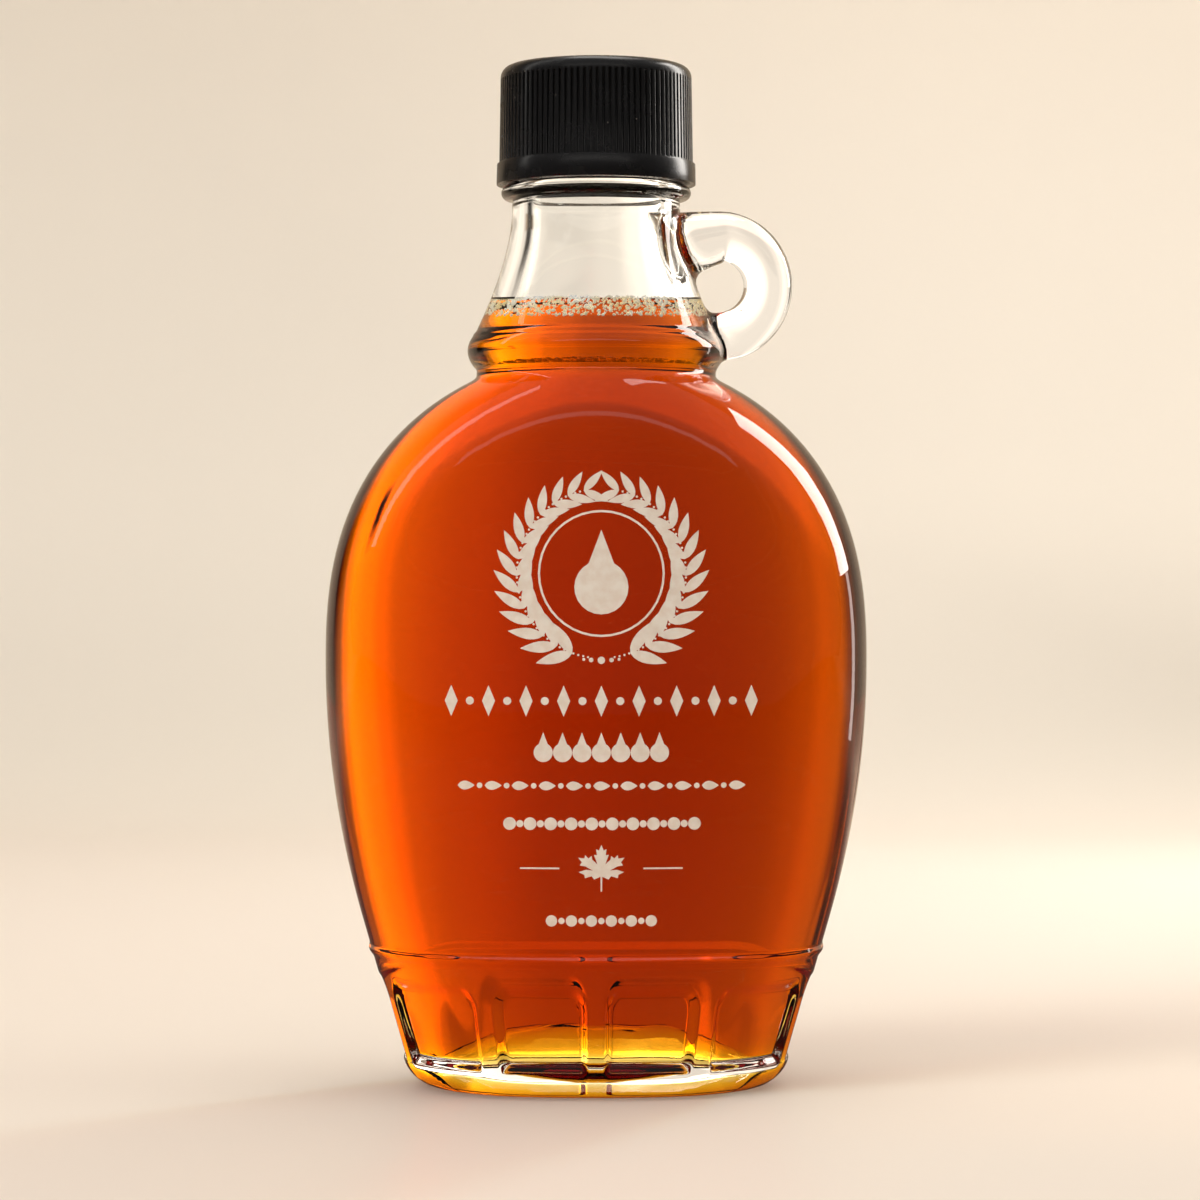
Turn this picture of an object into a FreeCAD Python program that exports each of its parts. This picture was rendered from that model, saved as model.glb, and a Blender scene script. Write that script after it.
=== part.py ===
"""Maple syrup bottle: an oval glass flask with a loop handle, its syrup and its screw cap.

The bottle stands on its base at z = 0 with the neck's axis on Z. X runs from side to side,
and the handle is on the +X side. Y runs through the two label faces. Millimetres throughout.
"""
import FreeCAD, Part
import math
import os

V = FreeCAD.Vector

# ---------------------------------------------------------------- body, outside
BODY_HALF_WIDTH = 41.6      # neck axis to the side, at the widest height
WIDEST_Z = 65.0             # height of the widest section
SHOULDER_RISE = 47.3        # above the widest height, where the side curve would reach the axis
SHOULDER_POWER = 2.5        # fullness of the shoulder, seen from the front
FLANK_CURVE = 0.0037        # narrowing per mm squared, below the widest height
TAPER_TOP_Z = 26.0          # the sides run straight below this height
OVAL_POWER = 2.25           # squareness of the oval section; 2 is an ellipse
ROUND_HALF_DEPTH = 26.0     # axis to the front, before the label faces are flattened
DEPTH_RISE = 50.6           # as SHOULDER_RISE, seen from the side
DEPTH_POWER = 4.59          # as SHOULDER_POWER, seen from the side
FOOT_CURVE = 0.0045         # narrowing of the round depth per mm squared, towards the foot
FOOT_TOP_Z = 35.0           # height where that narrowing starts
HEEL_RADIUS = 4.0           # rounding from the sides to the base

# ---------------------------------------------------------------- label faces
FACE_HALF_DEPTH = 24.5      # axis to the middle of a label face
FACE_Z = 50.0               # height where the two faces are farthest apart
FACE_RADIUS = 87.0          # curve of a face across the bottle
FACE_CURVE_UP = 0.00082     # how a face leans back per mm squared, above FACE_Z
FACE_CURVE_DOWN = 0.0018    # the same, below FACE_Z

# ---------------------------------------------------------------- glass thickness
BODY_WALL = 3.3
NECK_WALL = 3.1             # at the groove
RING_WALL = 4.3             # at the ring, which the inside hardly follows
BASE_WALL = 6.0
PUNT_DEPTH = 1.5            # hollow under the base
PUNT_SLOPE_WIDTH = 6.0      # from the edge of that hollow to its full depth
FOOT_RING = 3.2             # width of the flat ring that the bottle stands on
FLOOR_RADIUS = 6.0          # rounding between the inside walls and floor

# ---------------------------------------------------------------- ridge and windows at the foot
RIDGE_Z = 21.0
RIDGE_HEIGHT = 2.4
RIDGE_PROUD = 0.4
WINDOW_BOTTOM_Z = 4.4
WINDOW_TOP_Z = 17.2
WINDOW_DEPTH = 0.7
WINDOW_TOP_CORNER = 2.4
WINDOW_BOTTOM_CORNER = 1.0
BAR_WIDTH = 2.9             # glass left standing between two windows
BAR_ANGLES = (15.5, 51.0, 90.0, 129.0, 164.5)   # round the front half; the back is its mirror

# ---------------------------------------------------------------- neck, outside
GROOVE_RADIUS = 18.4        # where the shoulder meets the neck
GROOVE_Z = 109.6
RING_RADIUS = 19.8          # rounded ring above the groove
RING_Z = 112.7
FLARE_Z = 115.2             # the concave flare starts here
FLARE_RADIUS = 18.7
NECK_RADIUS = 12.9          # straight part of the neck
NECK_Z = 134.0              # the flare ends here
FLARE_POWER = 1.6
BEAD_RADIUS = 14.6          # rounded bead under the cap
BEAD_HEIGHT = 2.1
FINISH_RADIUS = 12.6        # glass inside the cap
RIM_RADIUS = 0.9            # rounding of the lip
BORE_RADIUS = 9.9
BORE_Z = 131.0              # the bore opens out below this height
INNER_POWER = 1.5           # as FLARE_POWER, for the inside

# ---------------------------------------------------------------- handle
HANDLE_X = 18.65            # middle of the loop
HANDLE_Z = 122.7
HANDLE_RING_RADIUS = 7.8
HANDLE_TUBE_RADIUS = 3.75
HANDLE_FILLET = 1.4

# ---------------------------------------------------------------- cap
CAP_HEIGHT = 18.2
CAP_TOP_Z = 156.4
CAP_TOP_WALL = 1.4
CAP_RADIUS = 14.95          # over the ribs
CAP_TOP_RADIUS = 14.75      # over the ribs at their top ends
BAND_RADIUS = 15.3          # plain band round the bottom of the cap
BAND_HEIGHT = 3.2
CAP_EDGE = 1.7              # rounding of the top edge
BAND_EDGE = 0.3
RIB_COUNT = 96
RIB_GAP = 0.36              # width of the groove between two ribs
RIB_DEPTH = 0.35
CAP_SIDE_CLEARANCE = 0.6    # between the cap's inside and the glass
BEAD_CLEARANCE = 0.2        # between the cap's lower edge and the bead

# ---------------------------------------------------------------- contents
SYRUP_LEVEL_Z = 119.4

# ---------------------------------------------------------------- worked out from the sizes above
CAP_BOTTOM_Z = CAP_TOP_Z - CAP_HEIGHT
RIM_Z = CAP_TOP_Z - CAP_TOP_WALL
BEAD_TOP_Z = CAP_BOTTOM_Z - BEAD_CLEARANCE
BEAD_Z = BEAD_TOP_Z - BEAD_HEIGHT / 2
INNER_GROOVE_RADIUS = GROOVE_RADIUS - NECK_WALL
INNER_RING_RADIUS = RING_RADIUS - RING_WALL
FOOT_INSET = HEEL_RADIUS + FOOT_RING

# ---------------------------------------------------------------- how finely curves are sampled
SECTION_STEP = 5.0          # height between two body sections
SECTION_POINTS = 48         # points round one oval section
RIDGE_SECTIONS = 5          # sections up the ridge
FLARE_POINTS = 5            # points along the curve of the flare
OVERRUN = 1.0               # how far a cutting or joining solid runs past what it meets
BLOCK_REACH = 3.5           # how far a window's cutting block reaches to either side of its chord
NEAR = 0.01                 # heights and lengths closer than this are the same


def side_half_width(z, inset=0.0):
    """Axis to the side at height z, for the outside or for a surface inset from it."""
    widest = BODY_HALF_WIDTH - inset
    if z > WIDEST_Z:
        rise = (z - WIDEST_Z) / (SHOULDER_RISE - inset)
        return widest * math.sqrt(max(0.0, 1.0 - rise ** SHOULDER_POWER))
    curve_drop = WIDEST_Z - max(z, TAPER_TOP_Z)
    taper_slope = 2.0 * FLANK_CURVE * (WIDEST_Z - TAPER_TOP_Z)
    return widest - FLANK_CURVE * curve_drop ** 2 - taper_slope * max(0.0, TAPER_TOP_Z - z)


def round_half_depth(z, inset=0.0):
    """Axis to the front of the full oval at height z."""
    deepest = ROUND_HALF_DEPTH - inset
    if z > WIDEST_Z:
        rise = (z - WIDEST_Z) / (DEPTH_RISE - inset)
        return deepest * math.sqrt(max(0.0, 1.0 - rise ** DEPTH_POWER))
    return deepest - FOOT_CURVE * max(0.0, FOOT_TOP_Z - z) ** 2


def face_half_depth(z, inset=0.0):
    """Axis to the middle of a label face at height z."""
    curve = FACE_CURVE_UP if z > FACE_Z else FACE_CURVE_DOWN
    return FACE_HALF_DEPTH - inset - curve * (z - FACE_Z) ** 2


def oval_power(z):
    """The sections turn from squarish ovals into ellipses towards the neck."""
    turn = min(1.0, max(0.0, (z - WIDEST_Z) / (GROOVE_Z - WIDEST_Z)))
    return OVAL_POWER + (2.0 - OVAL_POWER) * turn ** 3


def oval_point(angle, z, inset=0.0):
    """Point of the oval section at height z, seen from the axis at an angle from +X."""
    c, s, power = math.cos(angle), math.sin(angle), oval_power(z)
    across = abs(c / side_half_width(z, inset)) ** power
    through = abs(s / round_half_depth(z, inset)) ** power
    reach = (across + through) ** (-1.0 / power)
    return V(reach * c, reach * s, z)


def oval_wire(z, inset):
    """Closed smooth oval section at height z."""
    angles = [2.0 * math.pi * i / SECTION_POINTS for i in range(SECTION_POINTS)]
    curve = Part.BSplineCurve()
    curve.interpolate(Points=[oval_point(angle, z, inset) for angle in angles], PeriodicFlag=True,
                      Parameters=[float(i) for i in range(SECTION_POINTS + 1)])
    return Part.Wire([curve.toShape()])


def face_wire(z, inset):
    """Section of the space between the two label faces at height z, wider than the bottle."""
    half_width = BODY_HALF_WIDTH + 2.0 * OVERRUN
    apex = face_half_depth(z, inset)
    edge = apex - FACE_RADIUS + math.sqrt(FACE_RADIUS ** 2 - half_width ** 2)
    front = Part.Arc(V(-half_width, -edge, z), V(0, -apex, z), V(half_width, -edge, z)).toShape()
    right = Part.makeLine(V(half_width, -edge, z), V(half_width, edge, z))
    back = Part.Arc(V(half_width, edge, z), V(0, apex, z), V(-half_width, edge, z)).toShape()
    left = Part.makeLine(V(-half_width, edge, z), V(-half_width, -edge, z))
    return Part.Wire([front, right, back, left])


def flask(sections):
    """Oval body with two flattened label faces, through (height, inset) sections, lowest first."""
    (low_z, low_inset), (high_z, high_inset) = sections[0], sections[-1]
    oval = Part.makeLoft([oval_wire(z, inset) for z, inset in sections], True, False)
    taller = [(low_z - OVERRUN, low_inset)] + sections[1:-1] + [(high_z + OVERRUN, high_inset)]
    return oval.common(Part.makeLoft([face_wire(z, inset) for z, inset in taller], True, False))


def even_sections(bottom, top, inset):
    """Sections from bottom to top, all with the same inset."""
    count = math.ceil((top - bottom) / SECTION_STEP)
    return [(bottom + (top - bottom) * i / count, inset) for i in range(count + 1)]


def shoulder_end(neck_radius, inset):
    """Height where the shoulder has closed in under the neck, both from the front and from the side."""
    radius = neck_radius - OVERRUN
    front = 1.0 - (radius / (BODY_HALF_WIDTH - inset)) ** 2
    side = 1.0 - (radius / (ROUND_HALF_DEPTH - inset)) ** 2
    return WIDEST_Z + max((SHOULDER_RISE - inset) * front ** (1.0 / SHOULDER_POWER),
                          (DEPTH_RISE - inset) * side ** (1.0 / DEPTH_POWER))


def flat_edges(shape, z):
    """The edges that lie flat at height z."""
    return [e for e in shape.Edges if all(abs(p.z - z) < NEAR for p in e.discretize(5))]


def turned(profile):
    """Solid turned about Z from a closed list of edges in the XZ plane."""
    return Part.Face(Part.Wire(profile)).revolve(V(0, 0, 0), V(0, 0, 1), 360)


def lines(*points):
    """Straight edges through (radius, height) points."""
    ends = [V(r, 0, z) for r, z in points]
    return [Part.makeLine(a, b) for a, b in zip(ends, ends[1:])]


def arc(start, middle, end):
    """Arc edge through three (radius, height) points."""
    return Part.Arc(*[V(r, 0, z) for r, z in (start, middle, end)]).toShape()


def flare(low, high, power):
    """Curved edge from a low, wide (radius, height) point up to a high one, upright at its top."""
    points = []
    for i in range(FLARE_POINTS):
        share = i / (FLARE_POINTS - 1)
        radius = high[0] + (low[0] - high[0]) * (1.0 - share) ** power
        points.append(V(radius, 0, low[1] + (high[1] - low[1]) * share))
    curve = Part.BSplineCurve()
    curve.interpolate(points)
    return curve.toShape()


def body_outside():
    """The flask's outside, with its rounded heel."""
    body = flask(even_sections(0.0, shoulder_end(GROOVE_RADIUS, 0.0), 0.0))
    return body.makeFillet(HEEL_RADIUS, flat_edges(body, 0.0))


def ridge():
    """Low rounded ridge round the body above the windows."""
    sections = []
    for i in range(RIDGE_SECTIONS):
        up = (i + 0.5) / RIDGE_SECTIONS
        sections.append((RIDGE_Z + RIDGE_HEIGHT * (up - 0.5), -RIDGE_PROUD * math.sin(math.pi * up)))
    return flask(sections)


def finished_point(angle, z):
    """Point of the finished section at height z: the nearer of the oval and the label face."""
    oval = oval_point(angle, z)
    distance = math.hypot(oval.x, oval.y)
    c, s = oval.x / distance, abs(oval.y) / distance
    behind = FACE_RADIUS - face_half_depth(z)
    face_distance = math.sqrt(FACE_RADIUS ** 2 - (behind * c) ** 2) - behind * s
    share = min(1.0, face_distance / distance)
    return V(oval.x * share, oval.y * share, z)


def window_block(start, end):
    """Block with rounded corners that fills one window, from inside the wall to outside it."""
    corners = []
    for z, a, b in ((WINDOW_BOTTOM_Z, start, end), (WINDOW_TOP_Z, end, start)):
        near, far = finished_point(a, z), finished_point(b, z)
        half_bar = (far - near).normalize() * (BAR_WIDTH / 2)
        corners += [near + half_bar, far - half_bar]
    along = (corners[1] - corners[0]).normalize()
    outward = V(along.y, -along.x, 0)
    middle = (corners[0] + corners[1] + corners[2] + corners[3]) * 0.25
    back = [p - outward * ((p - middle).dot(outward) + BLOCK_REACH) for p in corners]
    block = Part.Face(Part.makePolygon(back + back[:1])).extrude(outward * (2 * BLOCK_REACH))
    block = block.makeFillet(WINDOW_BOTTOM_CORNER, through_edges(block, WINDOW_BOTTOM_Z))
    return block.makeFillet(WINDOW_TOP_CORNER, through_edges(block, WINDOW_TOP_Z))


def through_edges(block, z):
    """The two edges of a window block that run through the wall at height z."""
    return [e for e in flat_edges(block, z) if abs(e.Length - 2 * BLOCK_REACH) < NEAR]


def windows():
    """The ten shallow windows round the foot, as one compound to cut away."""
    around = [math.radians(a) for a in BAR_ANGLES]
    around += [a + math.pi for a in around]
    core = flask(even_sections(WINDOW_BOTTOM_Z - OVERRUN, WINDOW_TOP_Z + OVERRUN, WINDOW_DEPTH))
    blocks = [window_block(a, b) for a, b in zip(around, around[1:] + around[:1])]
    return Part.makeCompound([block.cut(core) for block in blocks])


def punt():
    """Shallow hollow under the base, inside the ring that the bottle stands on."""
    slope = [(PUNT_DEPTH * up, FOOT_INSET + PUNT_SLOPE_WIDTH * up ** 2) for up in (0.0, 0.5, 1.0)]
    return flask([(-OVERRUN, FOOT_INSET)] + slope)


def neck_outside():
    """Groove, ring, flare, straight neck, bead and the plain finish inside the cap."""
    foot_z = GROOVE_Z - BODY_WALL
    half_bead = BEAD_HEIGHT / 2
    profile = lines((0, foot_z), (GROOVE_RADIUS, foot_z), (GROOVE_RADIUS, GROOVE_Z))
    profile.append(arc((GROOVE_RADIUS, GROOVE_Z), (RING_RADIUS, RING_Z), (FLARE_RADIUS, FLARE_Z)))
    profile.append(flare((FLARE_RADIUS, FLARE_Z), (NECK_RADIUS, NECK_Z), FLARE_POWER))
    profile += lines((NECK_RADIUS, NECK_Z), (NECK_RADIUS, BEAD_Z - half_bead),
                     (BEAD_RADIUS - half_bead, BEAD_Z - half_bead))
    profile.append(arc((BEAD_RADIUS - half_bead, BEAD_Z - half_bead), (BEAD_RADIUS, BEAD_Z),
                       (BEAD_RADIUS - half_bead, BEAD_TOP_Z)))
    profile += lines((BEAD_RADIUS - half_bead, BEAD_TOP_Z), (FINISH_RADIUS, BEAD_TOP_Z),
                     (FINISH_RADIUS, RIM_Z - RIM_RADIUS))
    slant = RIM_RADIUS * (1.0 - math.sqrt(0.5))
    profile.append(arc((FINISH_RADIUS, RIM_Z - RIM_RADIUS), (FINISH_RADIUS - slant, RIM_Z - slant),
                       (FINISH_RADIUS - RIM_RADIUS, RIM_Z)))
    profile += lines((FINISH_RADIUS - RIM_RADIUS, RIM_Z), (0, RIM_Z), (0, foot_z))
    return turned(profile)


def handle():
    """Solid glass loop, with a straight upper arm that runs level into the neck."""
    loop = Part.makeTorus(HANDLE_RING_RADIUS, HANDLE_TUBE_RADIUS, V(HANDLE_X, 0, HANDLE_Z), V(0, 1, 0))
    arm_start = V(BORE_RADIUS, 0, HANDLE_Z + HANDLE_RING_RADIUS)
    return loop.fuse(Part.makeCylinder(HANDLE_TUBE_RADIUS, HANDLE_X - BORE_RADIUS, arm_start, V(1, 0, 0)))


def cavity():
    """The whole inside of the bottle, from its floor to past the rim."""
    shoulder_z = shoulder_end(INNER_GROOVE_RADIUS, BODY_WALL)
    body = flask(even_sections(BASE_WALL, shoulder_z, BODY_WALL))
    body = body.makeFillet(FLOOR_RADIUS, flat_edges(body, BASE_WALL))
    foot_z, mouth_z = shoulder_z - BODY_WALL, RIM_Z + OVERRUN
    profile = lines((0, foot_z), (INNER_GROOVE_RADIUS, foot_z), (INNER_GROOVE_RADIUS, GROOVE_Z),
                    (INNER_RING_RADIUS, RING_Z))
    profile.append(flare((INNER_RING_RADIUS, RING_Z), (BORE_RADIUS, BORE_Z), INNER_POWER))
    profile += lines((BORE_RADIUS, BORE_Z), (BORE_RADIUS, mouth_z), (0, mouth_z), (0, foot_z))
    return body.fuse(turned(profile))


def below(shape, z):
    """The part of a shape below height z."""
    size = 4 * BODY_HALF_WIDTH
    return shape.common(Part.makeBox(size, size, size, V(-size / 2, -size / 2, z - size)))


def handle_joint(glass):
    """The edges where the loop and its arm run into the neck."""
    def on_handle(face):
        surface = face.Surface
        if isinstance(surface, Part.Toroid):
            return abs(surface.MajorRadius - HANDLE_RING_RADIUS) < NEAR
        return isinstance(surface, Part.Cylinder) and abs(surface.Radius - HANDLE_TUBE_RADIUS) < NEAR

    neck_edges = [e for face in glass.Faces if not on_handle(face) for e in face.Edges]
    handle_edges = [e for face in glass.Faces if on_handle(face) for e in face.Edges]
    return [e for e in handle_edges if any(e.isSame(other) for other in neck_edges)]


def glass_bottle(inside):
    """Body, ridge, neck and handle as one piece of glass, hollowed by the cavity."""
    glass = body_outside().fuse(ridge()).cut(windows()).cut(punt())
    glass = glass.fuse(neck_outside()).fuse(handle()).cut(inside).removeSplitter()
    return glass.makeFillet(HANDLE_FILLET, handle_joint(glass))


def cap():
    """Screw cap with a ribbed grip and a plain lower band, seated on the rim."""
    inner = FINISH_RADIUS + CAP_SIDE_CLEARANCE
    band_top = CAP_BOTTOM_Z + BAND_HEIGHT
    grip_top = CAP_TOP_Z - CAP_EDGE
    slant = CAP_EDGE * (1.0 - math.sqrt(0.5))
    profile = [arc((CAP_TOP_RADIUS - CAP_EDGE, CAP_TOP_Z), (CAP_TOP_RADIUS - slant, CAP_TOP_Z - slant),
                   (CAP_TOP_RADIUS, grip_top))]
    profile += lines((CAP_TOP_RADIUS, grip_top), (CAP_RADIUS, band_top), (BAND_RADIUS, band_top),
                     (BAND_RADIUS, CAP_BOTTOM_Z + BAND_EDGE), (BAND_RADIUS - BAND_EDGE, CAP_BOTTOM_Z),
                     (inner, CAP_BOTTOM_Z), (inner, RIM_Z), (0, RIM_Z), (0, CAP_TOP_Z),
                     (CAP_TOP_RADIUS - CAP_EDGE, CAP_TOP_Z))
    groove = Part.makeBox(RIB_DEPTH + OVERRUN, RIB_GAP, grip_top - band_top,
                          V(CAP_TOP_RADIUS - RIB_DEPTH, -RIB_GAP / 2, band_top))
    grooves = []
    for i in range(RIB_COUNT):
        one = groove.copy()
        one.rotate(V(0, 0, 0), V(0, 0, 1), 360.0 * i / RIB_COUNT)
        grooves.append(one)
    return turned(profile).cut(Part.makeCompound(grooves)).removeSplitter()


def main():
    os.makedirs("parts", exist_ok=True)
    inside = cavity()
    pieces = {
        "glass_bottle": glass_bottle(inside),
        "syrup": below(inside, SYRUP_LEVEL_Z).removeSplitter(),
        "cap": cap(),
    }
    for name, piece in pieces.items():
        solid = piece.Solids[0]
        solid.exportStep(f"parts/{name}.step")
        print(f"{name}: {len(piece.Solids)} solid, valid {solid.isValid()}, {solid.Volume / 1000:.2f} ml")


main()
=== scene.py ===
"""Maple syrup bottle: moulded glass flask, amber syrup, ribbed cap and a plain cream print.

Shapes are worked out in millimetres, as on a drawing, and become metres when a mesh is made.
"""
import math
import random

import bmesh
import bpy
import numpy as np
from bpy.props import FloatProperty, FloatVectorProperty, IntProperty, PointerProperty
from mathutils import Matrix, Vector, noise


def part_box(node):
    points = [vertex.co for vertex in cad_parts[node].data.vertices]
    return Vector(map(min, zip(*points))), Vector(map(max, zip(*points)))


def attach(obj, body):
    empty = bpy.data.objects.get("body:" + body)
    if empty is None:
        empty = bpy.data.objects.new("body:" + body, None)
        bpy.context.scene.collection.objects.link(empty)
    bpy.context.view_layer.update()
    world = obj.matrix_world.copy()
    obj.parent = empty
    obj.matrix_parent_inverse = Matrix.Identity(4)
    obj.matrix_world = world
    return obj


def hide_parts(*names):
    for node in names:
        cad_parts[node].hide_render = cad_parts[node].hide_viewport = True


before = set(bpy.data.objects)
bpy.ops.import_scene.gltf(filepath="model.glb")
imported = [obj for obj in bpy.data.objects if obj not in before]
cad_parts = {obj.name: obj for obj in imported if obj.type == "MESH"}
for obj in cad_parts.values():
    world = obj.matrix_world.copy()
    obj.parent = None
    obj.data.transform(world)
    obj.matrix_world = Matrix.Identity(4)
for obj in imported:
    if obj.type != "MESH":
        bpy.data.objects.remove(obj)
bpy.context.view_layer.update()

bl_info = {
    "name": "Maple Syrup Bottle",
    "version": (1, 0, 0),
    "blender": (4, 5, 0),
    "location": "3D View > Sidebar > Syrup",
    "description": "Builds a glass syrup flask with its syrup, cap, print and a plain studio",
    "category": "Add Mesh",
}

MM = 0.001


def node_mm(node):
    """Lowest and highest corner of a node of the frame, in millimetres."""
    low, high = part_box(node)
    return [v / MM for v in low], [v / MM for v in high]


GLASS_LOW, GLASS_HIGH = node_mm("glass_bottle")
SYRUP_LOW, SYRUP_HIGH = node_mm("syrup")
CAP_LOW, CAP_HIGH = node_mm("cap")

# ---------------------------------------------------------------- shape of the flask
HALF_WIDTH = GLASS_HIGH[0]
FACE_HALF_DEPTH = GLASS_HIGH[1]
RIM_Z = GLASS_HIGH[2]
FLOOR_Z = SYRUP_LOW[2]
LEVEL_Z = SYRUP_HIGH[2]
WALL = 3.3
WIDEST_Z = 65.0
SHOULDER_RISE, SHOULDER_POWER = 47.3, 2.5
FLANK_CURVE, TAPER_TOP_Z = 0.0037, 26.0
ROUND_HALF_DEPTH, DEPTH_RISE, DEPTH_POWER = 26.0, 50.6, 4.59
OVAL_POWER = 2.25
FOOT_CURVE, FOOT_TOP_Z = 0.0045, 35.0
FACE_Z, FACE_RADIUS = 50.0, 87.0
FACE_CURVE_UP, FACE_CURVE_DOWN = 0.00082, 0.0018
HEEL_RADIUS, FLOOR_RADIUS, FOOT_RING = 4.0, 6.0, 3.2
PUNT_DEPTH, PUNT_SLOPE = 1.5, 6.0
PUSH_UP, FLOOR_DOME = 2.6, 5.8          # further rise of the underside's and of the floor's middle
FLOOR_SINK = 1.2                        # the floor's edge lies this much under its mean
STIPPLE = 0.22                          # grip bumps of the bearing ring
CREASE, INNER_CREASE = 0.9, 2.5         # softness of the edge of the label faces
BAR_ANGLES = (15.5, 51.0, 90.0, 129.0, 164.5)
BAR_WIDTH, WINDOW_DEPTH = 2.7, 1.1
WINDOW_BOTTOM_Z, WINDOW_TOP_Z, WINDOW_CORNER = 4.2, 17.2, 2.4
EDGE_WIDTH, SILL_WIDTH = 0.85, 1.3      # run of a window's side and of its sill
RIDGE_Z, RIDGE_HEIGHT, RIDGE_PROUD = 21.0, 2.4, 0.4
GROOVE_RADIUS, GROOVE_Z = 18.4, 109.6
RING_RADIUS, RING_Z, RING_HALF = 19.8, 112.7, 2.9
FLARE_RADIUS, FLARE_Z, FLARE_POWER = 18.7, 115.2, 1.6
NECK_RADIUS, NECK_Z = 12.9, 134.0
BEAD_RADIUS, BEAD_HEIGHT, BEAD_GAP = 14.6, 2.1, 0.2
FINISH_RADIUS, RIM_ROUND = 12.6, 0.9
BORE_RADIUS, BORE_Z, INNER_POWER = 9.9, 131.0, 1.5
INNER_GROOVE_RADIUS, INNER_RING_RADIUS = 15.3, 15.5
BEAD_Z = CAP_LOW[2] - BEAD_GAP - BEAD_HEIGHT / 2
LOOP_X, LOOP_Z, LOOP_RADIUS, TUBE_RADIUS = 18.65, 122.7, 7.8, 3.75
ROOT_FLARE, ROOT_STEPS, ROOT_POWER = 2.6, 7.0, 1.8      # how the loop widens into the neck at its top
BODY_TOP_Z, SHOULDER_Z = 107.0, 92.0                    # where the spacing of the inner rings changes
WAVE_SCALE, FLOOR_WAVE_SCALE, FLOOR_WAVES = 0.055, 0.22, 4.0

# Heights of the rings of the glass as (from, to, step), with twice the columns across the windows
WINDOW_SPANS = ((4.15, 6.6, 0.22), (6.6, 14.6, 0.6), (14.6, 18.0, 0.2), (18.0, 19.6, 0.4))
BODY_SPANS = (
    (19.6, 22.4, 0.25), (22.4, 94.0, 1.7), (94.0, BODY_TOP_Z, 0.8), (BODY_TOP_Z, 117.0, 0.35),
    (117.0, BEAD_Z - BEAD_HEIGHT / 2, 0.8))

# ---------------------------------------------------------------- shape of the cap
CAP_RADIUS, CAP_TOP_RADIUS, CAP_ROUND = 14.95, 14.65, 1.7
CAP_BAND, CAP_BAND_PROUD, CAP_SHOULDER = 3.2, 0.36, 2.1
RIB_COLUMNS, GROOVE_COLUMNS, RIB_DEPTH = 5, 2, 0.42

# ---------------------------------------------------------------- light and colour
GLASS_IOR, SYRUP_IOR = 1.5, 1.49
WHITE, WARM, AMBER = (1.0, 1.0, 1.0), (1.0, 0.955, 0.90), (1.0, 0.56, 0.24)

# Painted light: how brightly the paper glows when seen through glass and syrup, by bearing: 0 degrees is straight
# behind, 90 to the right
BACK_LIGHT = (
    (-90, 0.20), (-58, 0.20), (-46, 0.50), (-36, 1.25), (-27, 1.40), (-18, 1.08), (-10, 0.88), (-4, 0.88),
    (2, 1.02), (8, 1.42), (14, 1.75), (19, 2.5), (27, 3.6), (37, 4.2), (45, 2.4), (51, 0.8), (62, 0.30),
    (90, 0.25))
# Painted shadow and glow: seen through glass, the paper under the foot is dark at its front and bright behind.
FOOT_SHADE = (0.024, 0.050)     # from where to where the paper under the foot gives way to the open paper

# Soft boxes: name, bearing, distance, width, height, height of the middle, share of the highlight
SOFT_BOXES = (
    ("right_box", 63.0, 0.50, 0.17, 0.42, 0.34, 0.8),
    ("right_strip", 60.0, 0.50, 0.035, 0.16, 0.07, 0.25),
    ("left_strip", -88.0, 0.50, 0.06, 0.72, 0.52, 0.17),
    ("front_box", 180.0, 0.75, 1.30, 0.10, 0.46, 0.07),
    ("over_box", 20.0, 0.12, 0.40, 0.30, 0.75, 0.3),
)


def smooth_step(x):
    """0 below 0, 1 above 1, with a soft turn between."""
    x = np.clip(x, 0.0, 1.0)
    return x * x * (3.0 - 2.0 * x)


def ramp(x):
    """0 below 0, 1 above 1, straight between, with a small rounding at each end."""
    return soft_most(soft_least(x, 1.0 + 0.0 * x, 0.30), 0.0 * x, 0.30)


def soft_least(a, b, soft):
    """The lesser of two lengths, with the corner between them rounded."""
    overlap = np.maximum(soft - np.abs(a - b), 0.0) / soft
    return np.minimum(a, b) - overlap * overlap * soft / 4.0


def soft_most(a, b, soft):
    """The greater of two lengths, with the corner between them rounded."""
    return -soft_least(-a, -b, soft)


def side_half_width(z, inset):
    """Axis to the side at height z."""
    widest = HALF_WIDTH - inset
    rise = np.clip((z - WIDEST_Z) / (SHOULDER_RISE - inset), 0.0, 1.0)
    drop = WIDEST_Z - np.clip(z, TAPER_TOP_Z, WIDEST_Z)
    slope = 2.0 * FLANK_CURVE * (WIDEST_Z - TAPER_TOP_Z)
    below = FLANK_CURVE * drop ** 2 + slope * np.maximum(0.0, TAPER_TOP_Z - z)
    return np.maximum(widest * np.sqrt(np.maximum(0.0, 1.0 - rise ** SHOULDER_POWER)) - below, 0.5)


def round_half_depth(z, inset):
    """Axis to the front of the full oval at height z."""
    rise = np.clip((z - WIDEST_Z) / (DEPTH_RISE - inset), 0.0, 1.0)
    deepest = (ROUND_HALF_DEPTH - inset) * np.sqrt(np.maximum(0.0, 1.0 - rise ** DEPTH_POWER))
    return np.maximum(deepest - FOOT_CURVE * np.maximum(0.0, FOOT_TOP_Z - z) ** 2, 0.5)


def face_half_depth(z, inset):
    """Axis to the middle of a label face at height z."""
    curve = np.where(z > FACE_Z, FACE_CURVE_UP, FACE_CURVE_DOWN)
    return FACE_HALF_DEPTH - inset - curve * (z - FACE_Z) ** 2


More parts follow.
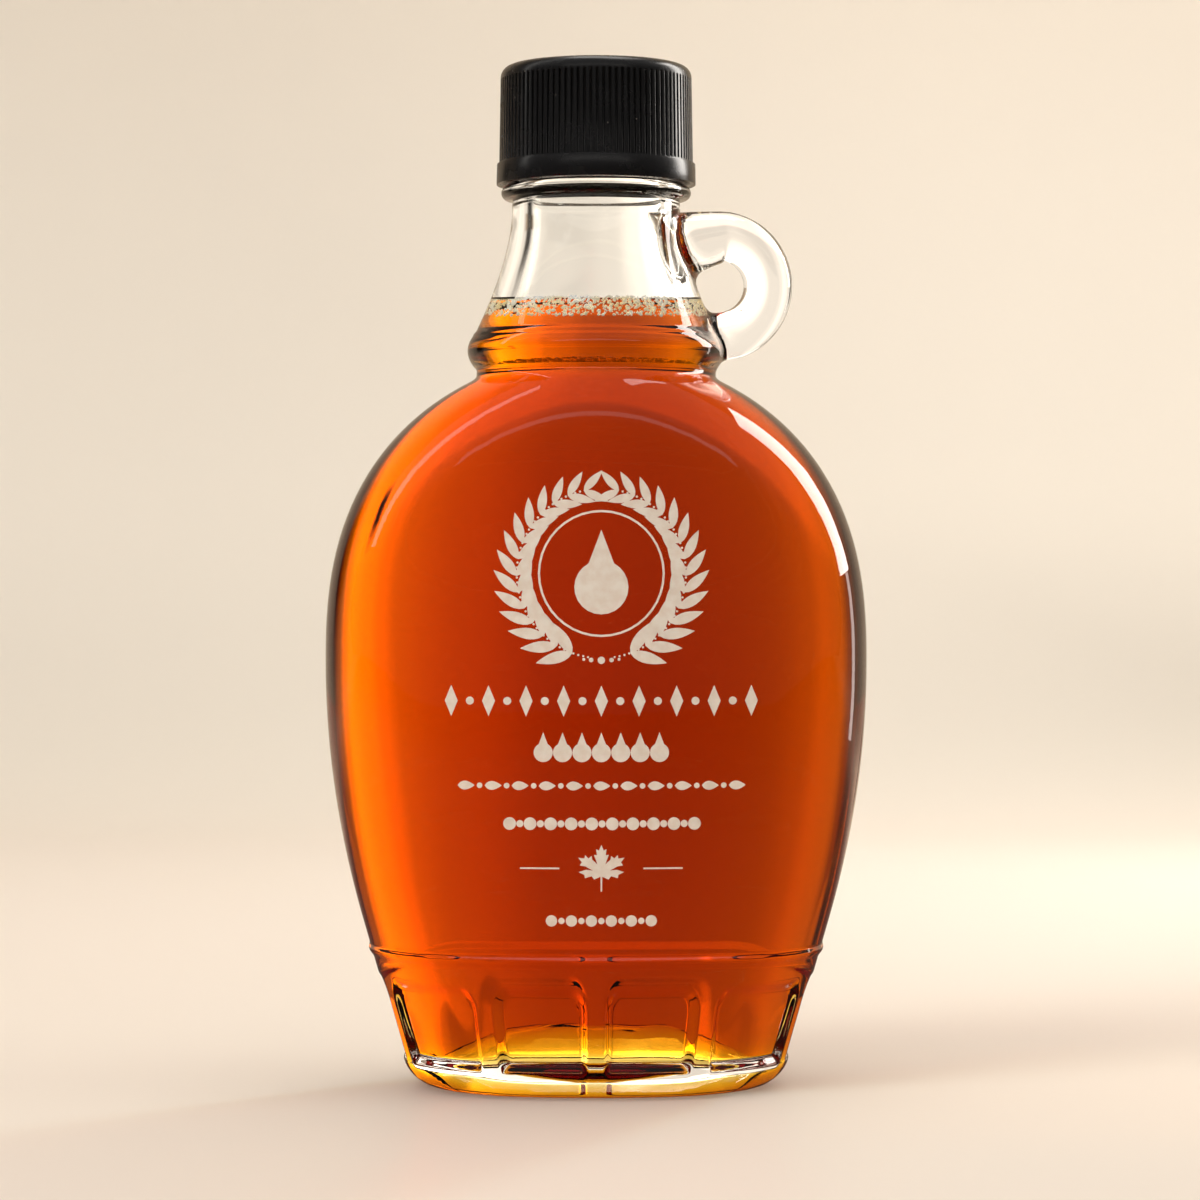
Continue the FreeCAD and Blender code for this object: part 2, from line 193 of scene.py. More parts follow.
def body_reach(angle, z, inset, soft):
    """Axis to the body's surface at each angle and height."""
    c, s = np.cos(angle), np.sin(angle)
    turn = np.clip((z - WIDEST_Z) / (GROOVE_Z - WIDEST_Z), 0.0, 1.0)
    power = OVAL_POWER + (2.0 - OVAL_POWER) * turn ** 3
    across = np.abs(c / side_half_width(z, inset)) ** power
    through = np.abs(s / round_half_depth(z, inset)) ** power
    oval = (across + through) ** (-1.0 / power)
    behind = FACE_RADIUS - face_half_depth(z, inset)
    face = np.sqrt(FACE_RADIUS ** 2 - (behind * c) ** 2) - behind * np.abs(s)
    return soft_least(oval, face, soft)


def neck_outside(z):
    """Radius of the groove, ring, flare, straight neck and bead at height z."""
    up = np.clip((NECK_Z - z) / (NECK_Z - FLARE_Z), 0.0, 1.0)
    flare = NECK_RADIUS + (FLARE_RADIUS - NECK_RADIUS) * up ** FLARE_POWER
    radius = np.where(z < FLARE_Z, GROOVE_RADIUS, flare)
    ring_core = RING_RADIUS - RING_HALF
    ring = ring_core + np.sqrt(np.maximum(RING_HALF ** 2 - (z - RING_Z) ** 2, 0.0)) - 0.02
    radius = soft_most(radius, np.where(np.abs(z - RING_Z) < RING_HALF, ring, 0.0), 1.6)
    radius = np.where(z > BEAD_Z, FINISH_RADIUS, radius)
    half = BEAD_HEIGHT / 2
    bead = BEAD_RADIUS - half + np.sqrt(np.maximum(half ** 2 - (z - BEAD_Z) ** 2, 0.0))
    return np.where(np.abs(z - BEAD_Z) < half, np.maximum(radius, bead), radius)


def neck_inside(z):
    """Radius of the bore and its flare at height z."""
    up = np.clip((BORE_Z - z) / (BORE_Z - RING_Z), 0.0, 1.0)
    return BORE_RADIUS + (INNER_RING_RADIUS - BORE_RADIUS) * up ** INNER_POWER


def angle_per_mm(angle, z):
    """How far round the axis a millimetre along the section reaches."""
    step = 0.01
    ahead, behind = body_reach(angle + step, z, 0.0, CREASE), body_reach(angle - step, z, 0.0, CREASE)
    reach = body_reach(angle, z, 0.0, CREASE)
    return 1.0 / np.hypot(reach, (ahead - behind) / (2.0 * step))


def bar_distance(angle, z):
    """Distance along the section to the nearest bar's middle."""
    nearest = np.full(np.broadcast(angle, z).shape, 1e3)
    for degrees in BAR_ANGLES:
        for bar in (math.radians(degrees), math.radians(degrees) + math.pi):
            turn = np.abs((angle - bar + math.pi) % (2.0 * math.pi) - math.pi)
            nearest = np.minimum(nearest, turn / angle_per_mm(np.float64(bar), z))
    return nearest


def window_recess(angle, z):
    """Depth of the windows below the body's surface."""
    inward = bar_distance(angle, z) - BAR_WIDTH / 2
    down = (WINDOW_TOP_Z - z) * 0.6
    corner = (inward < WINDOW_CORNER) & (down < WINDOW_CORNER)
    rounded = WINDOW_CORNER - np.hypot(WINDOW_CORNER - inward, WINDOW_CORNER - down)
    inward = np.where(corner, rounded, np.minimum(inward, down))
    return WINDOW_DEPTH * ramp(inward / EDGE_WIDTH) * ramp((z - WINDOW_BOTTOM_Z) / SILL_WIDTH)


def outside_reach(angle, z, inset):
    """Axis to the glass's outer surface."""
    reach = body_reach(angle, z, inset, CREASE) - window_recess(angle, z)
    ridge = np.clip(1.0 - np.abs(z - RIDGE_Z) / (RIDGE_HEIGHT / 2), 0.0, 1.0)
    reach = reach + RIDGE_PROUD * np.sin(ridge * math.pi / 2) ** 2
    return np.where(z > WIDEST_Z, soft_most(reach, neck_outside(z) + 0.0 * reach, 1.2), reach)


def inside_reach(angle, z, inset):
    """Axis to the glass's inner surface, which is smoother than the outside and a little wavy."""
    reach = body_reach(angle, z, inset, INNER_CREASE)
    return np.where(z > WIDEST_Z, soft_most(reach, neck_inside(z) + 0.0 * reach, 2.5), reach)


def steps(start, end, size):
    """Evenly spaced heights from start up to just before end."""
    count = max(1, round((end - start) / size))
    return [start + (end - start) * i / count for i in range(count)]


def heights_of(spans):
    """Heights from spans of (from, to, step)."""
    return [z for span in spans for z in steps(*span)]


def waviness(points, amount, scale):
    """Small slow unevenness of moulded glass at each point, in millimetres."""
    heights = [noise.noise(Vector((x * scale, y * scale, z * scale * 0.45))) for x, y, z in points]
    return np.array(heights) * amount


def make_angles(count):
    """Angles round the bottle, closer together beside the bars of the windows."""
    fine = np.linspace(0.0, 2.0 * math.pi, 7201)
    inward = bar_distance(fine, np.float64(10.0)) - BAR_WIDTH / 2
    length = 1.0 / angle_per_mm(fine, np.float64(10.0))
    weight = 0.5 + 1.6 * np.exp(-(inward / 0.35) ** 2) + 1.6 * np.exp(-((inward - EDGE_WIDTH) / 0.35) ** 2)
    weight *= length
    total = np.concatenate([[0.0], np.cumsum((weight[1:] + weight[:-1]) / 2)])
    return np.interp(np.arange(count) / count * total[-1], total, fine)


def ring_points(angles, reach, z):
    """Points of one ring."""
    height = np.zeros_like(angles) + z
    return np.stack([reach * np.cos(angles), reach * np.sin(angles), height], axis=1)


def doubled(angles):
    """The same angles with one more halfway to each next one."""
    ahead = np.append(angles[1:], angles[0] + 2.0 * math.pi)
    return np.stack([angles, (angles + ahead) / 2], axis=1).ravel()


def skin(name, rings, closed_ends=(True, True)):
    """Mesh through rings of points, lowest first for an outward skin; a ring may double its neighbour's points."""
    starts = np.concatenate([[0], np.cumsum([len(ring) for ring in rings])])
    points = np.concatenate(rings) * MM
    faces = []
    for row in range(len(rings) - 1):
        base, up = int(starts[row]), int(starts[row + 1])
        low, high = len(rings[row]), len(rings[row + 1])
        count = min(low, high)
        for i in range(count):
            j = (i + 1) % count
            if low == high:
                faces.append((base + i, base + j, up + j, up + i))
            elif low < high:
                a, b, c = up + 2 * i, up + 2 * i + 1, up + (2 * i + 2) % high
                faces += [(base + i, b, a), (base + i, base + j, b), (base + j, c, b)]
            else:
                a, b, c = base + 2 * i, base + 2 * i + 1, base + (2 * i + 2) % low
                faces += [(a, b, up + i), (b, up + j, up + i), (b, c, up + j)]
    verts = [tuple(p) for p in points]
    for end, row in ((0, 0), (1, len(rings) - 1)):
        if closed_ends[end]:
            middle = rings[row].mean(axis=0) * MM
            verts.append(tuple(middle))
            hub, count, start = len(verts) - 1, len(rings[row]), int(starts[row])
            for i in range(count):
                a, b = start + i, start + (i + 1) % count
                faces.append((hub, b, a) if end == 0 else (hub, a, b))
    mesh = bpy.data.meshes.new(name)
    mesh.from_pydata(verts, [], faces)
    mesh.validate()
    mesh.polygons.foreach_set("use_smooth", [True] * len(mesh.polygons))
    piece = bpy.data.objects.new(name, mesh)
    bpy.context.collection.objects.link(piece)
    return piece


# ---------------------------------------------------------------- materials
class Shading:
    """A node tree as it is filled: its nodes and links, and the sums that the finishes share."""

    def __init__(self, tree):
        tree.nodes.clear()
        self.nodes, self.links = tree.nodes, tree.links

    def feed(self, socket, value):
        """Gives a socket another node's output or a constant; a colour is three numbers."""
        if isinstance(value, bpy.types.NodeSocket):
            self.links.new(value, socket)
        elif socket.type == "RGBA":
            socket.default_value = (*value, 1.0)
        else:
            socket.default_value = value

    def node(self, kind, **inputs):
        """A node with its inputs fed by name."""
        node = self.nodes.new("ShaderNode" + kind)
        for name, value in inputs.items():
            self.feed(node.inputs[name.replace("_", " ")], value)
        return node

    def span(self, source, low, high, to_low=0.0, to_high=1.0, kind="LINEAR"):
        """Maps a value from one range to another."""
        node = self.node("MapRange")
        node.interpolation_type = kind
        for label, value in (("Value", source), ("From Min", low), ("From Max", high),
                             ("To Min", to_low), ("To Max", to_high)):
            self.feed(node.inputs[label], value)
        return node.outputs["Result"]

    def ease(self, source, low, high, to_low=0.0, to_high=1.0):
        """Maps a value from one range to another with a soft turn at both ends."""
        return self.span(source, low, high, to_low, to_high, "SMOOTHSTEP")

    def maths(self, operation, first, second=0.0, clamped=False):
        """The result of a sum on one or two values."""
        node = self.node("Math")
        node.operation, node.use_clamp = operation, clamped
        self.feed(node.inputs[0], first)
        self.feed(node.inputs[1], second)
        return node.outputs["Value"]

    def blend(self, factor, first, second, kind="MIX"):
        """Two colours mixed by a factor."""
        node = self.node("Mix")
        node.data_type, node.blend_type = "RGBA", kind
        for label, value in (("Factor", factor), ("A", first), ("B", second)):
            self.feed(node.inputs[label], value)
        return node.outputs["Result"]

    def mixed(self, share, first, second):
        """The second shader by its share, and the first for the rest."""
        node = self.node("MixShader", Fac=share)
        self.links.new(first, node.inputs[1])
        self.links.new(second, node.inputs[2])
        return node.outputs["Shader"]

    def ray(self, kind):
        """1 on rays of a kind, such as Shadow, and 0 on all others."""
        return self.node("LightPath").outputs["Is " + kind + " Ray"]

    def coordinates(self, kind="Object"):
        """The point's coordinates as one vector."""
        return self.node("TexCoord").outputs[kind]

    def place(self, kind="Object"):
        """The point's coordinates by name: X, Y and Z."""
        return self.node("SeparateXYZ", Vector=self.coordinates(kind)).outputs

    def uneven(self, slow_scale, fine_scale, fine_share, strength, distance):
        """Mottle and grain of the shared unevenness, and the normal of its relief."""
        group = self.node("Group")
        group.node_tree = unevenness_group()
        for label, value in (("Slow Scale", slow_scale), ("Fine Scale", fine_scale), ("Fine Share", fine_share)):
            group.inputs[label].default_value = value
        bump = self.node("Bump", Strength=strength, Distance=distance, Height=group.outputs["Height"])
        return group.outputs["Mottle"], group.outputs["Grain"], bump.outputs["Normal"]

    def shadow_tint(self, shader, colour):
        """The shader for all rays but shadow rays, which pass through with this colour."""
        through = self.node("BsdfTransparent", Color=colour)
        return self.mixed(self.ray("Shadow"), shader, through.outputs["BSDF"])


def new_material(name):
    """A material with an empty node tree, the tree's shading and its output."""
    material = bpy.data.materials.new(name)
    material.use_nodes = True
    shading = Shading(material.node_tree)
    return material, shading, shading.node("OutputMaterial")


def unevenness_group():
    """Mottle and height of a slow unevenness and of a fine grain, shared by all the finishes."""
    name = "unevenness"
    if name in bpy.data.node_groups:
        return bpy.data.node_groups[name]
    group = bpy.data.node_groups.new(name, "ShaderNodeTree")
    for label, value in (("Slow Scale", 40.0), ("Fine Scale", 900.0), ("Fine Share", 0.3)):
        socket = group.interface.new_socket(name=label, in_out="INPUT", socket_type="NodeSocketFloat")
        socket.default_value = value
    for label in ("Mottle", "Grain", "Height"):
        group.interface.new_socket(name=label, in_out="OUTPUT", socket_type="NodeSocketFloat")
    shading = Shading(group)
    inside, outside = group.nodes.new("NodeGroupInput").outputs, group.nodes.new("NodeGroupOutput").inputs
    where = shading.coordinates()
    slow = shading.node("TexNoise", Vector=where, Scale=inside["Slow Scale"], Detail=3.0, Roughness=0.5)
    fine = shading.node("TexNoise", Vector=where, Scale=inside["Fine Scale"], Detail=2.0, Roughness=0.6)
    height = shading.node(
        "Mix", Factor=inside["Fine Share"], A=slow.outputs["Fac"], B=fine.outputs["Fac"])
    shading.feed(outside["Mottle"], slow.outputs["Fac"])
    shading.feed(outside["Grain"], fine.outputs["Fac"])
    shading.feed(outside["Height"], height.outputs["Result"])
    return group


def glass_material(name, wetted):
    """Clear flint glass: its open surface, or the wetted wall that reflects almost nothing."""
    settings = bpy.context.scene.syrup_bottle_glass
    material, shading, output = new_material(name)
    mottle, _, normal = shading.uneven(55.0, 420.0, 0.12, settings.ripple, 0.0004)
    kind, roughness = "BsdfRefraction", 0.0
    if not wetted:
        kind, roughness = "BsdfGlass", shading.span(mottle, 0.55, 0.8, 0.0, 0.03)
    surface = shading.node(kind, Color=settings.glass_colour, IOR=GLASS_IOR, Roughness=roughness, Normal=normal)
    shading.feed(output.inputs["Surface"], shading.shadow_tint(surface.outputs["BSDF"], (0.93, 0.93, 0.92)))
    return material


def syrup_material():
    """Amber syrup: absorbing all through, reflecting only at its free surface."""
    settings = bpy.context.scene.syrup_bottle_syrup
    material, shading, output = new_material("amber_syrup")
    _, _, normal = shading.uneven(120.0, 700.0, 0.2, 0.12, 0.0003)
    side = shading.node("BsdfRefraction", Color=WHITE, IOR=SYRUP_IOR, Roughness=0.0)
    top = shading.node("BsdfGlass", Color=WHITE, IOR=SYRUP_IOR, Roughness=0.0, Normal=normal)
    is_top = shading.span(shading.place()["Z"], (LEVEL_Z - 0.35) * MM, (LEVEL_Z - 0.3) * MM)
    liquid = shading.mixed(is_top, side.outputs["BSDF"], top.outputs["BSDF"])
    shading.feed(output.inputs["Surface"], shading.shadow_tint(liquid, WHITE))
    absorb = shading.node("VolumeAbsorption", Color=settings.syrup_colour, Density=settings.density)
    shading.feed(output.inputs["Volume"], absorb.outputs["Volume"])
    return material


def foam_material():
    """Thin bubbles, pale and here and there amber, with a little light of their own so that they stay pale."""
    material, shading, output = new_material("foam")
    mottle, _, _ = shading.uneven(300.0, 1500.0, 0.4, 0.1, 0.0001)
    colour = shading.blend(shading.span(mottle, 0.35, 0.65), (0.95, 0.80, 0.52), (1.0, 0.97, 0.92))
    bubble = shading.node(
        "BsdfPrincipled", Base_Color=colour, Roughness=0.2, IOR=1.33, Emission_Color=colour, Emission_Strength=0.3)
    shading.feed(output.inputs["Surface"], shading.shadow_tint(bubble.outputs["BSDF"], (0.9, 0.85, 0.75)))
    return material


def cap_material():
    """Black moulded plastic with a satin skin, finely pebbled and a little dusty."""
    dark = bpy.context.scene.syrup_bottle_cap.cap_colour
    material, shading, output = new_material("black_plastic")
    mottle, _, normal = shading.uneven(260.0, 2600.0, 0.5, 0.12, 0.00006)
    colour = shading.blend(shading.span(mottle, 0.3, 0.75), [value * 0.75 for value in dark], dark)
    dust = shading.node("TexVoronoi", Vector=shading.coordinates(), Scale=380.0, Randomness=1.0)
    speck = shading.span(dust.outputs["Distance"], 0.035, 0.06, 0.22, 0.0)
    plastic = shading.node(
        "BsdfPrincipled", Base_Color=shading.blend(speck, colour, (0.45, 0.42, 0.38)), IOR=1.49,
        Roughness=shading.span(mottle, 0.3, 0.7, 0.20, 0.30), Normal=normal)
    shading.feed(output.inputs["Surface"], plastic.outputs["BSDF"])
    return material


def print_material():
    """Fired cream enamel, slightly uneven in cover."""
    ink = bpy.context.scene.syrup_bottle_print.ink_colour
    material, shading, output = new_material("cream_enamel")
    mottle, grain, normal = shading.uneven(700.0, 4000.0, 0.5, 0.25, 0.00003)
    thin = [value * share for value, share in zip(ink, (0.93, 0.88, 0.85))]
    enamel = shading.node(
        "BsdfPrincipled", Base_Color=shading.blend(shading.span(mottle, 0.35, 0.65), thin, ink), IOR=1.5,
        Roughness=shading.span(grain, 0.3, 0.7, 0.45, 0.6), Normal=normal)
    shading.feed(output.inputs["Surface"], enamel.outputs["BSDF"])
    return material


def light_behind(shading):
    """Painted light: how brightly the paper glows through glass and syrup, by bearing from the bottle and along the
    floor, with painted shadow and glow under the foot.
    """
    brightest = max(value for _, value in BACK_LIGHT)
    where = shading.coordinates()
    place = shading.node("SeparateXYZ", Vector=where).outputs
    bearing = shading.maths("ARCTAN2", place["X"], place["Y"])
    curve = shading.node("ValToRGB", Fac=shading.span(bearing, -math.pi / 2, math.pi / 2))
    curve.color_ramp.interpolation = "EASE"
    stops = curve.color_ramp.elements
    while len(stops) < len(BACK_LIGHT):
        stops.new(0.5)
    for stop, (degrees, _) in zip(stops, BACK_LIGHT):
        stop.position = (degrees + 90) / 180
    for stop, (_, value) in zip(stops, BACK_LIGHT):
        stop.color = (value / brightest, value / brightest, value / brightest, 1.0)
    level = shading.maths("MULTIPLY", curve.outputs["Color"], brightest)
    level = shading.maths("MAXIMUM", level, shading.ease(place["Z"], 0.10, 0.16, 0.0, 0.98))
    # Painted glow: a bright pool on the floor behind the bottle, where light through the syrup would fall.
    painted_glow_patch = shading.ease(place["Y"], 0.58, 0.44, 0.0, 0.45)
    for source, start, end in ((place["Y"], -0.02, 0.05), (bearing, -0.85, -0.45), (bearing, 0.95, 0.55)):
        painted_glow_patch = shading.maths("MULTIPLY", painted_glow_patch, shading.ease(source, start, end))
    level = shading.maths("ADD", level, painted_glow_patch)
    # Painted shadow and glow under the foot: dark under its front, bright under its back.
    away = shading.node("VectorMath")
    away.operation = "LENGTH"
    shading.feed(away.inputs[0], where)
    outside = shading.ease(away.outputs["Value"], *FOOT_SHADE)
    inside = shading.ease(away.outputs["Value"], *FOOT_SHADE, 1.0, 0.0)
    below = shading.ease(place["Y"], -0.012, 0.006, 0.12, 3.2)
    share = shading.maths("ADD", outside, shading.maths("MULTIPLY", inside, below))
    return shading.maths("MULTIPLY", level, share)


def backdrop_material():
    """Smooth cream paper, warmer underfoot than far back, with a faint mottle, painted light up to the right and
    painted shade low on the wall.
    """
    settings = bpy.context.scene.syrup_bottle_stage
    material, shading, output = new_material("cream_paper")
    mottle, _, normal = shading.uneven(3.0, 260.0, 0.6, 0.05, 0.0006)
    place = shading.place()
    colour = shading.blend(
        shading.ease(place["Y"], 0.42, 0.60), settings.floor_colour, settings.backdrop_colour)
    # Painted light and shade: the paper is lifted upward and to the right, and darkened where the wall rises from the
    # floor.
    upward = shading.ease(place["Z"], 0.01, 0.11)
    rightward = shading.ease(place["X"], -0.16, 0.18, 0.02, 0.17)
    painted_wall_shade = shading.ease(place["Y"], 0.45, 0.70, 0.0, -0.09)
    painted_light_lift = shading.maths("MULTIPLY", upward, shading.maths("ADD", rightward, 0.09))
    value = shading.maths(
        "ADD", shading.span(mottle, 0.2, 0.8, 0.97, 1.0), shading.maths("ADD", painted_light_lift, painted_wall_shade))
    shade = shading.node("CombineColor", Red=value, Green=value, Blue=value)
    toned = shading.blend(1.0, colour, shade.outputs["Color"], "MULTIPLY")
    paper = shading.node(
        "BsdfPrincipled", Base_Color=toned, Roughness=0.45, Specular_IOR_Level=0.3, Normal=normal)
    # Painted shade in reflections: mirrored, the paper is dark, darkest in front of the bottle.
    painted_reflection_shade = shading.blend(shading.ease(place["Y"], 0.10, 0.35), (0.10, 0.085, 0.07), (0.60, 0.50, 0.38))
    dim = shading.node("BsdfDiffuse", Color=painted_reflection_shade)
    # A ray that glass lets through also counts as glossy, so only true reflections see the dim paper.
    mirrored = shading.maths("SUBTRACT", shading.ray("Glossy"), shading.ray("Transmission"), True)
    seen = shading.mixed(mirrored, paper.outputs["BSDF"], dim.outputs["BSDF"])
    # Seen through glass the paper glows with this painted light, amber where it is dim.
    level = light_behind(shading)
    warmth = shading.blend(shading.ease(level, 0.25, 0.80), (1.0, 0.58, 0.27), (1.0, 0.87, 0.73))
    lit = shading.node("Emission", Color=warmth, Strength=level)
    shading.feed(
        output.inputs["Surface"], shading.mixed(shading.ray("Transmission"), seen, lit.outputs["Emission"]))
    return material


def card_material():
    """Black felt that fades out towards the card's edges."""
    material, shading, output = new_material("black_card")
    felt = shading.node("BsdfDiffuse", Color=(0.012, 0.011, 0.010))
    clear = shading.node("BsdfTransparent", Color=WHITE)
    across = shading.place("UV")
    solid = 1.0
    for axis in ("X", "Y"):
        offset = shading.maths("ABSOLUTE", shading.maths("SUBTRACT", across[axis], 0.5))
        solid = shading.maths("MULTIPLY", solid, shading.ease(offset, 0.5, 0.12))
    shading.feed(output.inputs["Surface"], shading.mixed(solid, clear.outputs["BSDF"], felt.outputs["BSDF"]))
    return material


def room_light(tree):
    """Even light from above and a dim horizon; straight or through glass the room is pale cream."""
    settings = bpy.context.scene.syrup_bottle_stage
    shading = Shading(tree)
    strength = shading.ease(
        shading.place("Generated")["Z"], 0.15, 0.7, settings.horizon_light, settings.sky_light)
    lit = shading.node("Background", Color=(1.0, 0.97, 0.93), Strength=strength)
    seen = shading.node("Background", Color=(0.93, 0.86, 0.77), Strength=0.95)
    looked_at = shading.maths("MAXIMUM", shading.ray("Camera"), shading.ray("Transmission"))
    surface = shading.mixed(looked_at, lit.outputs["Background"], seen.outputs["Background"])
    shading.feed(shading.node("OutputWorld").inputs["Surface"], surface)


# ---------------------------------------------------------------- small tools
def finish_piece(piece, material, slot, *stands_for):
    """Material, body and the nodes that a finished piece stands for; the slot argument is not used."""
    if material is not None:
        piece.data.materials.clear()
        piece.data.materials.append(material)
    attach(piece, "root")
    if stands_for:
        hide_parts(*stands_for)
    return piece


def only(piece):
    """Leaves object mode with this piece alone selected and active."""
    if bpy.context.object and bpy.context.object.mode != "OBJECT":
        bpy.ops.object.mode_set(mode="OBJECT")
    bpy.ops.object.select_all(action="DESELECT")
    if piece is not None:
        piece.select_set(True)
        bpy.context.view_layer.objects.active = piece
    return piece


def apply_modifier(piece, kind, **settings):
    """Adds a modifier to a piece and applies it."""
    only(piece)
    modifier = piece.modifiers.new(kind.lower(), kind)
    for name, value in settings.items():
        setattr(modifier, name, value)
    bpy.ops.object.modifier_apply(modifier=modifier.name)


# ---------------------------------------------------------------- glass and syrup
def glass_rings(angles, waves):
    """Rings of the glass from the middle of its underside, over the rim, to the middle of its floor."""
    rings = []
    foot = body_reach(angles, 0.0, HEEL_RADIUS + FOOT_RING + PUNT_SLOPE, 1.5)
    for share in (0.05, 0.2, 0.35, 0.5, 0.65, 0.8, 0.92, 1.0):
        rings.append(ring_points(angles, foot * share, PUNT_DEPTH + PUSH_UP * (1 - share ** 2)))
    for i in range(1, 7):
        inset = HEEL_RADIUS + FOOT_RING + PUNT_SLOPE * (1 - i / 6)
        reach = body_reach(angles, 0.0, inset, 1.5)
        rings.append(ring_points(angles, reach, PUNT_DEPTH * (1 - smooth_step(i / 6))))
    for i in range(1, 5):
        bumps = np.arange(len(angles)) // 2 % 2 == (0 if i == 2 else 1)
        inset = HEEL_RADIUS + FOOT_RING * (1 - i / 5)
        rings.append(ring_points(angles, body_reach(angles, 0.0, inset, 1.2), STIPPLE * bumps * (i < 4)))
    fine = doubled(angles)
    for i in range(11):
        turn = math.radians(9 * i)
        z = HEEL_RADIUS * (1 - math.cos(turn))
        reach = outside_reach(fine, np.full_like(fine, z), HEEL_RADIUS * (1 - math.sin(turn)))
        rings.append(ring_points(fine, reach, z))
    for z in heights_of(WINDOW_SPANS):
        rings.append(ring_points(fine, outside_reach(fine, np.full_like(fine, z), 0.0), z))
    heights = heights_of(BODY_SPANS)
    heights += [BEAD_Z - BEAD_HEIGHT / 2 * math.cos(math.pi * i / 10) for i in range(11)]
    heights += steps(BEAD_Z + BEAD_HEIGHT / 2 + 0.1, RIM_Z - RIM_ROUND, 2.6)
    for z in heights:
        rings.append(ring_points(angles, outside_reach(angles, np.full_like(angles, z), 0.0), z))
    for radius, side in ((FINISH_RADIUS, 1), (BORE_RADIUS, -1)):
        for i in range(6):
            turn = math.radians(18 * i) if side > 0 else math.radians(90 - 18 * i)
            reach = radius - side * RIM_ROUND * (1 - math.cos(turn))
            z = RIM_Z - RIM_ROUND * (1 - math.sin(turn))
            rings.append(ring_points(angles, np.full_like(angles, reach), z))
    rings += inner_rings(angles, 0.0, RIM_Z - RIM_ROUND - 1.5, waves)
    return rings


def inner_rings(angles, deeper, top, waves):
    """Rings of the inner wall from a height down to the middle of the floor, this much deeper in the glass."""
    heights = [top - h for h in steps(0.0, top - BORE_Z, 2.2)] if top > BORE_Z else []
    start = min(top, BORE_Z)
    floor_z = FLOOR_Z - FLOOR_SINK
    for above, below, step in (
            (start, BODY_TOP_Z, 0.7), (BODY_TOP_Z, SHOULDER_Z, 0.9), (SHOULDER_Z, floor_z + FLOOR_RADIUS, 2.0)):
        heights += [above - h for h in steps(0.0, above - below, step)]
    rings = []
    for z in heights:
        reach = inside_reach(angles, np.full_like(angles, z), WALL)
        points = ring_points(angles, reach, z)
        wave = waviness(points, waves, WAVE_SCALE) * smooth_step((RIM_Z - 8.0 - z) / 12.0)
        streaks = np.stack([points[:, 0] * 0.8, points[:, 1] * 0.8, np.full(len(points), z * 0.12)], axis=1)
        in_neck = float(smooth_step((z - LEVEL_Z - 2.0) / 4.0) * smooth_step((137.0 - z) / 4.0))
        wave += waviness(streaks, 0.07, 0.35) * in_neck
        rings.append(ring_points(angles, reach + wave + deeper, z))
    for i in range(10):
        turn = math.radians(90 * i / 10)
        z = floor_z + FLOOR_RADIUS * (1 - math.sin(turn))
        inset = WALL + FLOOR_RADIUS * (1 - math.cos(turn))
        reach = inside_reach(angles, np.full_like(angles, z), inset)
        reach = reach + waviness(ring_points(angles, reach, z), waves, WAVE_SCALE)
        rings.append(ring_points(angles, reach + deeper * math.cos(turn), z - deeper * math.sin(turn)))
    floor = inside_reach(angles, np.full_like(angles, floor_z), WALL + FLOOR_RADIUS)
    for share in (1.0, 0.96, 0.91, 0.85, 0.79, 0.72, 0.65, 0.58, 0.5, 0.42, 0.33, 0.24, 0.15, 0.06):
        points = ring_points(angles, floor * share, floor_z - deeper)
        points[:, 2] += waviness(points, waves * FLOOR_WAVES, FLOOR_WAVE_SCALE) * min(1.0, 6 * (1 - share))
        points[:, 2] += FLOOR_DOME * (1 - share ** 4)
        rings.append(points)
    return rings


def handle_path():
    """Middle line of the finger loop from the neck, round and back, with its radius at each point."""
    top, bottom = LOOP_Z + LOOP_RADIUS, LOOP_Z - LOOP_RADIUS
    points = [(x, top) for x in (11.0, 12.2, 13.6, 15.2, 17.0)]
    for i in range(33):
        turn = math.radians(90 - 180 * i / 32)
        points.append((LOOP_X + LOOP_RADIUS * math.cos(turn), LOOP_Z + LOOP_RADIUS * math.sin(turn)))
    points += [(17.6, bottom), (16.4, bottom)]
    path = []
    for i, (x, z) in enumerate(points):
        flare = ROOT_FLARE * max(0.0, 1 - i / ROOT_STEPS) ** ROOT_POWER
        path.append(((x, 0.0, z - flare), TUBE_RADIUS + flare))
    return path


def make_handle():
    """The solid glass loop as a closed tube."""
    path = handle_path()
    rings = []
    around = np.linspace(0.0, 2.0 * math.pi, 41)[:-1]
    across = np.array([0.0, 1.0, 0.0])
    for i, (point, radius) in enumerate(path):
        ahead, behind = path[min(i + 1, len(path) - 1)][0], path[max(i - 1, 0)][0]
        along = np.array([ahead[0] - behind[0], 0.0, ahead[2] - behind[2]])
        along /= np.linalg.norm(along)
        out = np.array([-along[2], 0.0, along[0]])
        section = np.cos(around)[:, None] * across + np.sin(around)[:, None] * out
        rings.append(np.array(point) + radius * section)
    handle = skin("handle_blank", rings)
    only(handle)
    bpy.ops.object.mode_set(mode="EDIT")
    bpy.ops.mesh.select_all(action="SELECT")
    bpy.ops.mesh.normals_make_consistent(inside=False)
    bpy.ops.object.mode_set(mode="OBJECT")
    return handle


